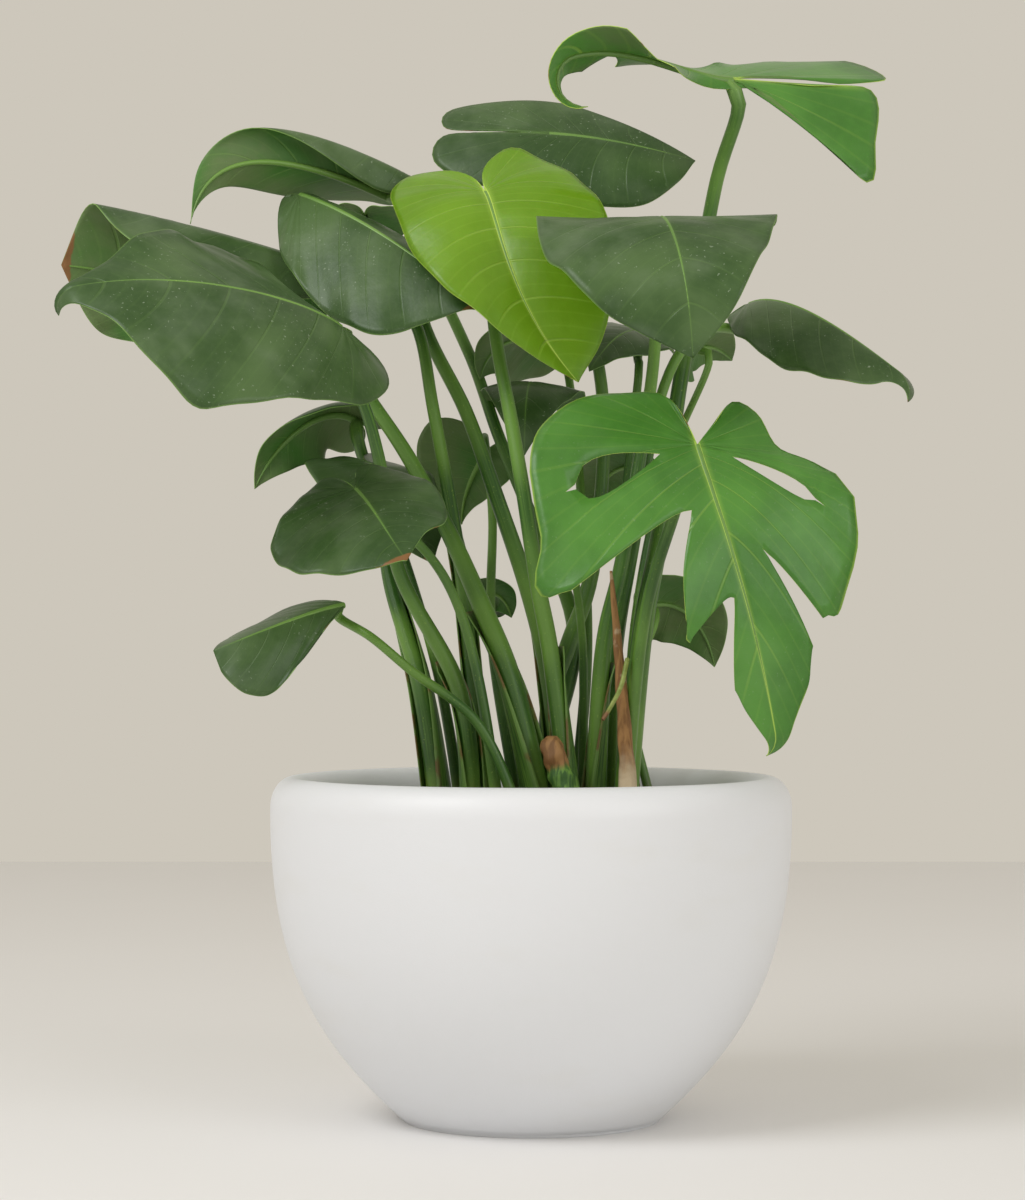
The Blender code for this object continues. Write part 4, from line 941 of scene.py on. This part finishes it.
def old_sheath_finish():
    """Fibrous dead tissue, cream towards its foot."""
    finish = Finish("old_sheath_fibre", 0.8)
    fibres = finish.noise(1.0, 4.0, (300, 300, 24))
    patches = finish.noise(90.0, 4.0)
    brown = finish.mix(finish.step(fibres, 0.35, 0.65), TAN, DRY_BROWN)
    wander = finish.math("ADD", finish.height(), finish.share(patches, 0.03))
    brown = finish.mix(finish.step(wander, SOIL_CROWN + 0.075, SOIL_CROWN + 0.045), brown, CREAM)
    finish.colour(finish.mix(finish.share(finish.step(patches, 0.62, 0.72), 0.5), brown, CREAM))
    finish.bump(fibres, 0.0015, 0.9)
    return finish.material


def stump_finish():
    """The foot of a cut stalk: green and streaked, browned and cracked towards its top."""
    finish = Finish("stump_skin", 0.6)
    streaks = finish.noise(1.0, 4.0, (260, 260, 30))
    green = finish.mix(finish.step(streaks, 0.40, 0.62), STALK_GREEN, STALK_PALE)
    along = finish.math("ADD", finish.uv("strip")[1], finish.share(streaks, 0.012))
    top = finish.mix(finish.step(streaks, 0.42, 0.60), DRY_BROWN, TAN)
    finish.colour(finish.mix(finish.step(along, STUMP_GREEN_END, STUMP_GREEN_END + 0.006), green, top))
    finish.bump(streaks, 0.0014, 0.9)
    return finish.material


def root_finish():
    """A smooth yellow-green root with a dry brown stub."""
    finish = Finish("aerial_root_skin", 0.45)
    along = finish.uv("strip")[1]
    rings = finish.noise(1.0, 2.0, (120, 120, 260))
    green = finish.mix(finish.step(rings, 0.30, 0.75), ROOT_GREEN, ROOT_PALE)
    finish.colour(finish.mix(finish.step(along, 0.010, 0.005), green, DRY_BROWN))
    finish.bump(rings, 0.0004, 0.5)
    return finish.material


def planter_finish():
    """Smooth white moulding with a very fine grain and faint handling marks."""
    finish = Finish("planter_white", 0.42)
    grain = finish.noise(900.0, 2.0)
    marks = finish.noise(1.0, 5.0, (11, 11, 30))
    finish.colour(finish.mix(finish.step(marks, 0.50, 0.80), WHITE, OFF_WHITE))
    rough = finish.add("ShaderNodeMapRange", {"Value": marks, "To Min": 0.36, "To Max": 0.52}).outputs[0]
    finish.give(finish.shader, "Roughness", rough)
    finish.bump(grain, 0.00025, 0.35)
    return finish.material


def mix_finish(name, dark, light, scale):
    """Crumbly potting mix or bark: broken browns with pale flecks."""
    finish = Finish(name, 0.95)
    lumps = finish.noise(scale, 6.0)
    flecks = finish.noise(6.0 * scale, 2.0)
    brown = finish.mix(finish.step(lumps, 0.35, 0.68), dark, light)
    finish.colour(finish.mix(finish.step(flecks, 0.68, 0.76), brown, CREAM))
    finish.bump(lumps, 0.003, 0.9)
    return finish.material


def all_looks():
    """Every finish, by name. Each leaf colour has one for its upper face, its under face and its edge."""
    return {
        "dark": (
            leaf_face("dark_upper", DARK_GREEN, DUSTY_GREEN, VEIN_GREEN, 0.16, 0, 0.10, 0.18, 0.36),
            leaf_face("dark_under", UNDER_GREEN, MID_GREEN, VEIN_GREEN, 0.06, 0, 0.30, 0.70, 0.55),
            leaf_edge("dark_edge", VEIN_GREEN),
        ),
        "mid": (
            leaf_face("mid_upper", MID_GREEN, FRESH_GREEN, LEMON_GREEN, 0.05, 0.05, 0.12, 0.65, 0.30),
            leaf_face("mid_under", FRESH_GREEN, UNDER_GREEN, LEMON_GREEN, 0.02, 0.05, 0.25, 0.70, 0.50),
            leaf_edge("mid_edge", LEMON_GREEN),
        ),
        "young": (
            leaf_face("young_upper", YOUNG_GREEN, YOUNG_LIGHT, LEMON_GREEN, 0, 0.15, 0.16, 0.90, 0.32),
            leaf_face("young_under", YOUNG_LIGHT, YOUNG_GREEN, LEMON_GREEN, 0, 0.15, 0.40, 0.90, 0.50),
            leaf_edge("young_edge", LEMON_GREEN),
        ),
        "stalk": stalk_finish(),
        "sheath": sheath_finish(),
        "stump": stump_finish(),
        "old_sheath": old_sheath_finish(),
        "root": root_finish(),
        "planter": planter_finish(),
        "soil": mix_finish("potting_mix", SOIL_DARK, SOIL_BROWN, 120.0),
        "bark": mix_finish("bark_chips", SOIL_BROWN, BARK_BROWN, 240.0),
    }


def turned(profile):
    """A surface of revolution about the Z axis, from a profile of (radius, height) pairs."""
    profile = np.asarray(profile)
    angle = round_angles(POT_STEPS)
    ring = np.stack([np.cos(angle), np.sin(angle)], -1)
    flat = profile[:, None, :1] * ring[None]
    height = np.broadcast_to(profile[:, None, 1:], (*flat.shape[:2], 1))
    return np.concatenate([flat, height], -1)


def inner_wall(inset):
    """The planter's inside from near its floor's middle up to under the lip, moved inwards by inset."""
    mouth = POT_RADIUS - 2 * LIP_HALF_WIDTH - inset
    floor = POT_FLOOR + inset
    wall = ((FLOOR_FLAT_RADIUS, floor), (0.140, floor + 0.025), (mouth, 0.130), (mouth, SOIL_EDGE))
    return [(0, floor), *(tuple(point) for point in bezier(wall, np.linspace(0, 1, 24)))]


def planter_piece(looks):
    """A round bowl with a thick rolled lip, a softened foot and a flat underside."""
    lip_centre = POT_RADIUS - LIP_HALF_WIDTH
    lip_foot = POT_HEIGHT - LIP_HEIGHT
    angles = np.linspace(np.pi, 0, 28)
    lip = [(lip_centre + LIP_HALF_WIDTH * np.cos(a), lip_foot + LIP_HEIGHT * np.sin(a)) for a in angles]
    curve = ((POT_RADIUS, lip_foot), *POT_CURVE, (POT_BASE_RADIUS, FOOT_ROUND))
    outer = bezier(curve, np.linspace(0, 1, 60)[1:])
    turn = np.linspace(0, np.pi / 2, 5)[1:]
    edge = [(POT_BASE_RADIUS - FOOT_ROUND * np.sin(a), FOOT_ROUND * np.cos(a)) for a in turn]
    profile = [*inner_wall(0), *lip, *(tuple(point) for point in outer), *edge, (0, 0)]
    grid = turned(profile)
    sheet = Sheet()
    sheet.add(grid, [grid[..., :2]], looped=True)
    shown("planter_bowl", sheet.mesh("planter_bowl", ("flat",)), (looks["planter"],), "planter", "planter")


def crumble(points, size, depth):
    """Points moved up and down by noise."""
    moved = points.copy()
    for index in np.ndindex(points.shape[:-1]):
        place = Vector(points[index])
        lift = noise.noise(place / size) + 0.5 * noise.noise(place / (0.4 * size))
        moved[index][2] += depth * lift
    return moved


def crown_height(radius):
    """The height of the potting mix at a distance from the planter's axis."""
    return SOIL_EDGE + (SOIL_CROWN - 0.002 - SOIL_EDGE) * (1 - smooth_step(0.06, 0.16, radius))


def soil_piece(looks):
    """The potting mix: a crumbly crowned top, and the plain body that fills the planter."""
    wall = np.array(inner_wall(0.0005)[::-1])
    radius = np.linspace(0.0005, wall[0, 0], 46)
    top = crumble(turned(np.stack([radius, crown_height(radius)], -1)), 0.010, 0.0022)
    grid = np.concatenate([top, turned(wall[1:])])
    sheet = Sheet()
    sheet.add(grid, [grid[..., :2]], looped=True)
    shown("potting_mix", sheet.mesh("potting_mix", ("flat",)), (looks["soil"],), "soil", "soil")


def bark_piece(looks):
    """Broken bark lying over the potting mix."""
    rng = np.random.default_rng(7)
    joined = bmesh.new()
    for _ in range(BARK_CHIPS):
        radius = (POT_RADIUS - 2 * LIP_HALF_WIDTH - 0.008) * np.sqrt(rng.uniform(0, 1))
        angle = rng.uniform(0, 2 * np.pi)
        size = rng.uniform(*CHIP_SIZES)
        chip = bmesh.ops.create_icosphere(joined, subdivisions=2, radius=1)["verts"]
        stretch = np.array([rng.uniform(0.9, 1.9), rng.uniform(0.6, 1.1), rng.uniform(0.3, 0.6)]) * size
        turn = rng.uniform(0, 2 * np.pi)
        tilt = rng.uniform(-0.35, 0.35)
        offset = Vector(rng.uniform(0, 50, 3))
        crown = crown_height(radius)
        for vert in chip:
            broken = vert.co * (1 + 0.45 * noise.noise(vert.co * 1.6 + offset))
            x, y, z = broken.x * stretch[0], broken.y * stretch[1], broken.z * stretch[2]
            z += tilt * x
            vert.co = Vector((
                radius * np.cos(angle) + x * np.cos(turn) - y * np.sin(turn),
                radius * np.sin(angle) + x * np.sin(turn) + y * np.cos(turn),
                crown + 0.0012 + z,
            ))
    data = bpy.data.meshes.new("bark_chips")
    joined.to_mesh(data)
    joined.free()
    shown("bark_chips", data, (looks["bark"],), "soil")


def knobbly_tube(points, radii, knobs):
    """The surface of an uneven tube with a rounded end, for a stump or a root."""
    share = np.linspace(0, 1, 40)
    line = smooth_through(points, share)
    radius = np.interp(share, np.linspace(0, 1, len(radii)), radii)
    run = lengths(line)
    end = run[-1] - run
    radius = radius * np.sqrt(np.clip(1 - (1 - np.clip(end / radius, 0, 1)) ** 2, 0.0004, 1))
    side, other = around(line, TOWARDS_FRONT)
    angle = round_angles(20)
    ring = ring_of(angle, side, other)
    uneven = np.ones(ring.shape[:2])
    for i, j in np.ndindex(uneven.shape):
        uneven[i, j] += knobs * noise.noise(Vector(line[i] + ring[i, j] * radius[i]) * 130)
    points = line[:, None] + (radius[:, None] * uneven)[..., None] * ring
    sheet = Sheet()
    sheet.add(points, [pairs(angle[None] / (2 * np.pi), run[:, None])], looped=True)
    return sheet


def old_sheath_piece(looks):
    """What an old leaf left behind: a dry, pointed strip, hollow towards the stalks, with a pale foot."""
    share = np.linspace(0, 1, 50)
    line = smooth_through(OLD_SHEATH_LINE, share)
    back, other = around(line, np.array([0.6, -0.8, 0.0]))
    q = np.linspace(-1, 1, 15)[None, :]
    width = (OLD_SHEATH_WIDTH * (1 - share) ** 0.75 + 0.0006)[:, None]
    angle = q * np.radians(165 - 75 * smooth_step(0.0, 0.35, share))[:, None]
    frill = 1 + 0.10 * np.sin(40 * share[:, None] + 3 * q) * np.abs(q)
    points = line[:, None] + (width * frill)[..., None] * ring_of(angle, back, other)
    sheet = Sheet()
    sheet.add(points, [pairs(q, share[:, None])], flipped=True)
    data = sheet.mesh("dry_sheath", ("sheath",))
    made = shown("dry_sheath", data, (looks["old_sheath"],), "dry_bark", "old_sheath")
    thicken(made, SHEATH_THICKNESS)


def studio():
    """A pale floor that ends against a soft wall of light, a key lamp on the left and a fill on the right."""
    data = bpy.data.meshes.new("floor")
    data.from_pydata(FLOOR_CORNERS, [], [(0, 1, 2, 3)])
    floor = bpy.data.objects.new("floor", data)
    bpy.context.scene.collection.objects.link(floor)
    finish = Finish("floor_paint", 0.7)
    finish.colour(finish.mix(finish.noise(3.0), FLOOR_PALE, FLOOR_PALER))
    data.materials.append(finish.material)
    for name, place, size, power in LAMPS:
        light = bpy.data.lights.new(name, "AREA")
        light.size = size
        light.energy = power
        light.color = DAYLIGHT
        lamp = bpy.data.objects.new(name, light)
        lamp.location = place
        lamp.rotation_euler = (Vector((0, 0, 0.35)) - Vector(place)).to_track_quat("-Z", "Y").to_euler()
        bpy.context.scene.collection.objects.link(lamp)
    world = bpy.data.worlds.new("studio")
    world.use_nodes = True
    world.node_tree.nodes["Background"].inputs["Color"].default_value = (*WALL, 1)
    bpy.context.scene.world = world


def camera():
    data = bpy.data.cameras.new("camera")
    data.lens = CAMERA_LENS
    data.shift_y = CAMERA_RISE
    made = bpy.data.objects.new("camera", data)
    made.location = CAMERA_PLACE
    made.rotation_euler = (np.pi / 2, 0, 0)
    bpy.context.scene.collection.objects.link(made)
    bpy.context.scene.camera = made


def main():
    looks = all_looks()
    for name, changes in LEAVES.items():
        blade = Blade(changes)
        leaf_piece(name, blade, looks)
        stalk_piece(name, blade, looks)
    stump = knobbly_tube(STUMP_LINE, STUMP_RADII, STUMP_KNOBS)
    shown("cut_stump", stump.mesh("cut_stump", ("strip",)), (looks["stump"],), "dry_bark", "stump")
    root = knobbly_tube(ROOT_LINE, ROOT_RADII, ROOT_KNOBS)
    shown("thin_root", root.mesh("thin_root", ("strip",)), (looks["root"],), "aerial_root", "aerial_root")
    old_sheath_piece(looks)
    planter_piece(looks)
    soil_piece(looks)
    bark_piece(looks)
    studio()
    camera()
    bpy.context.scene.view_settings.view_transform = "Standard"


main()
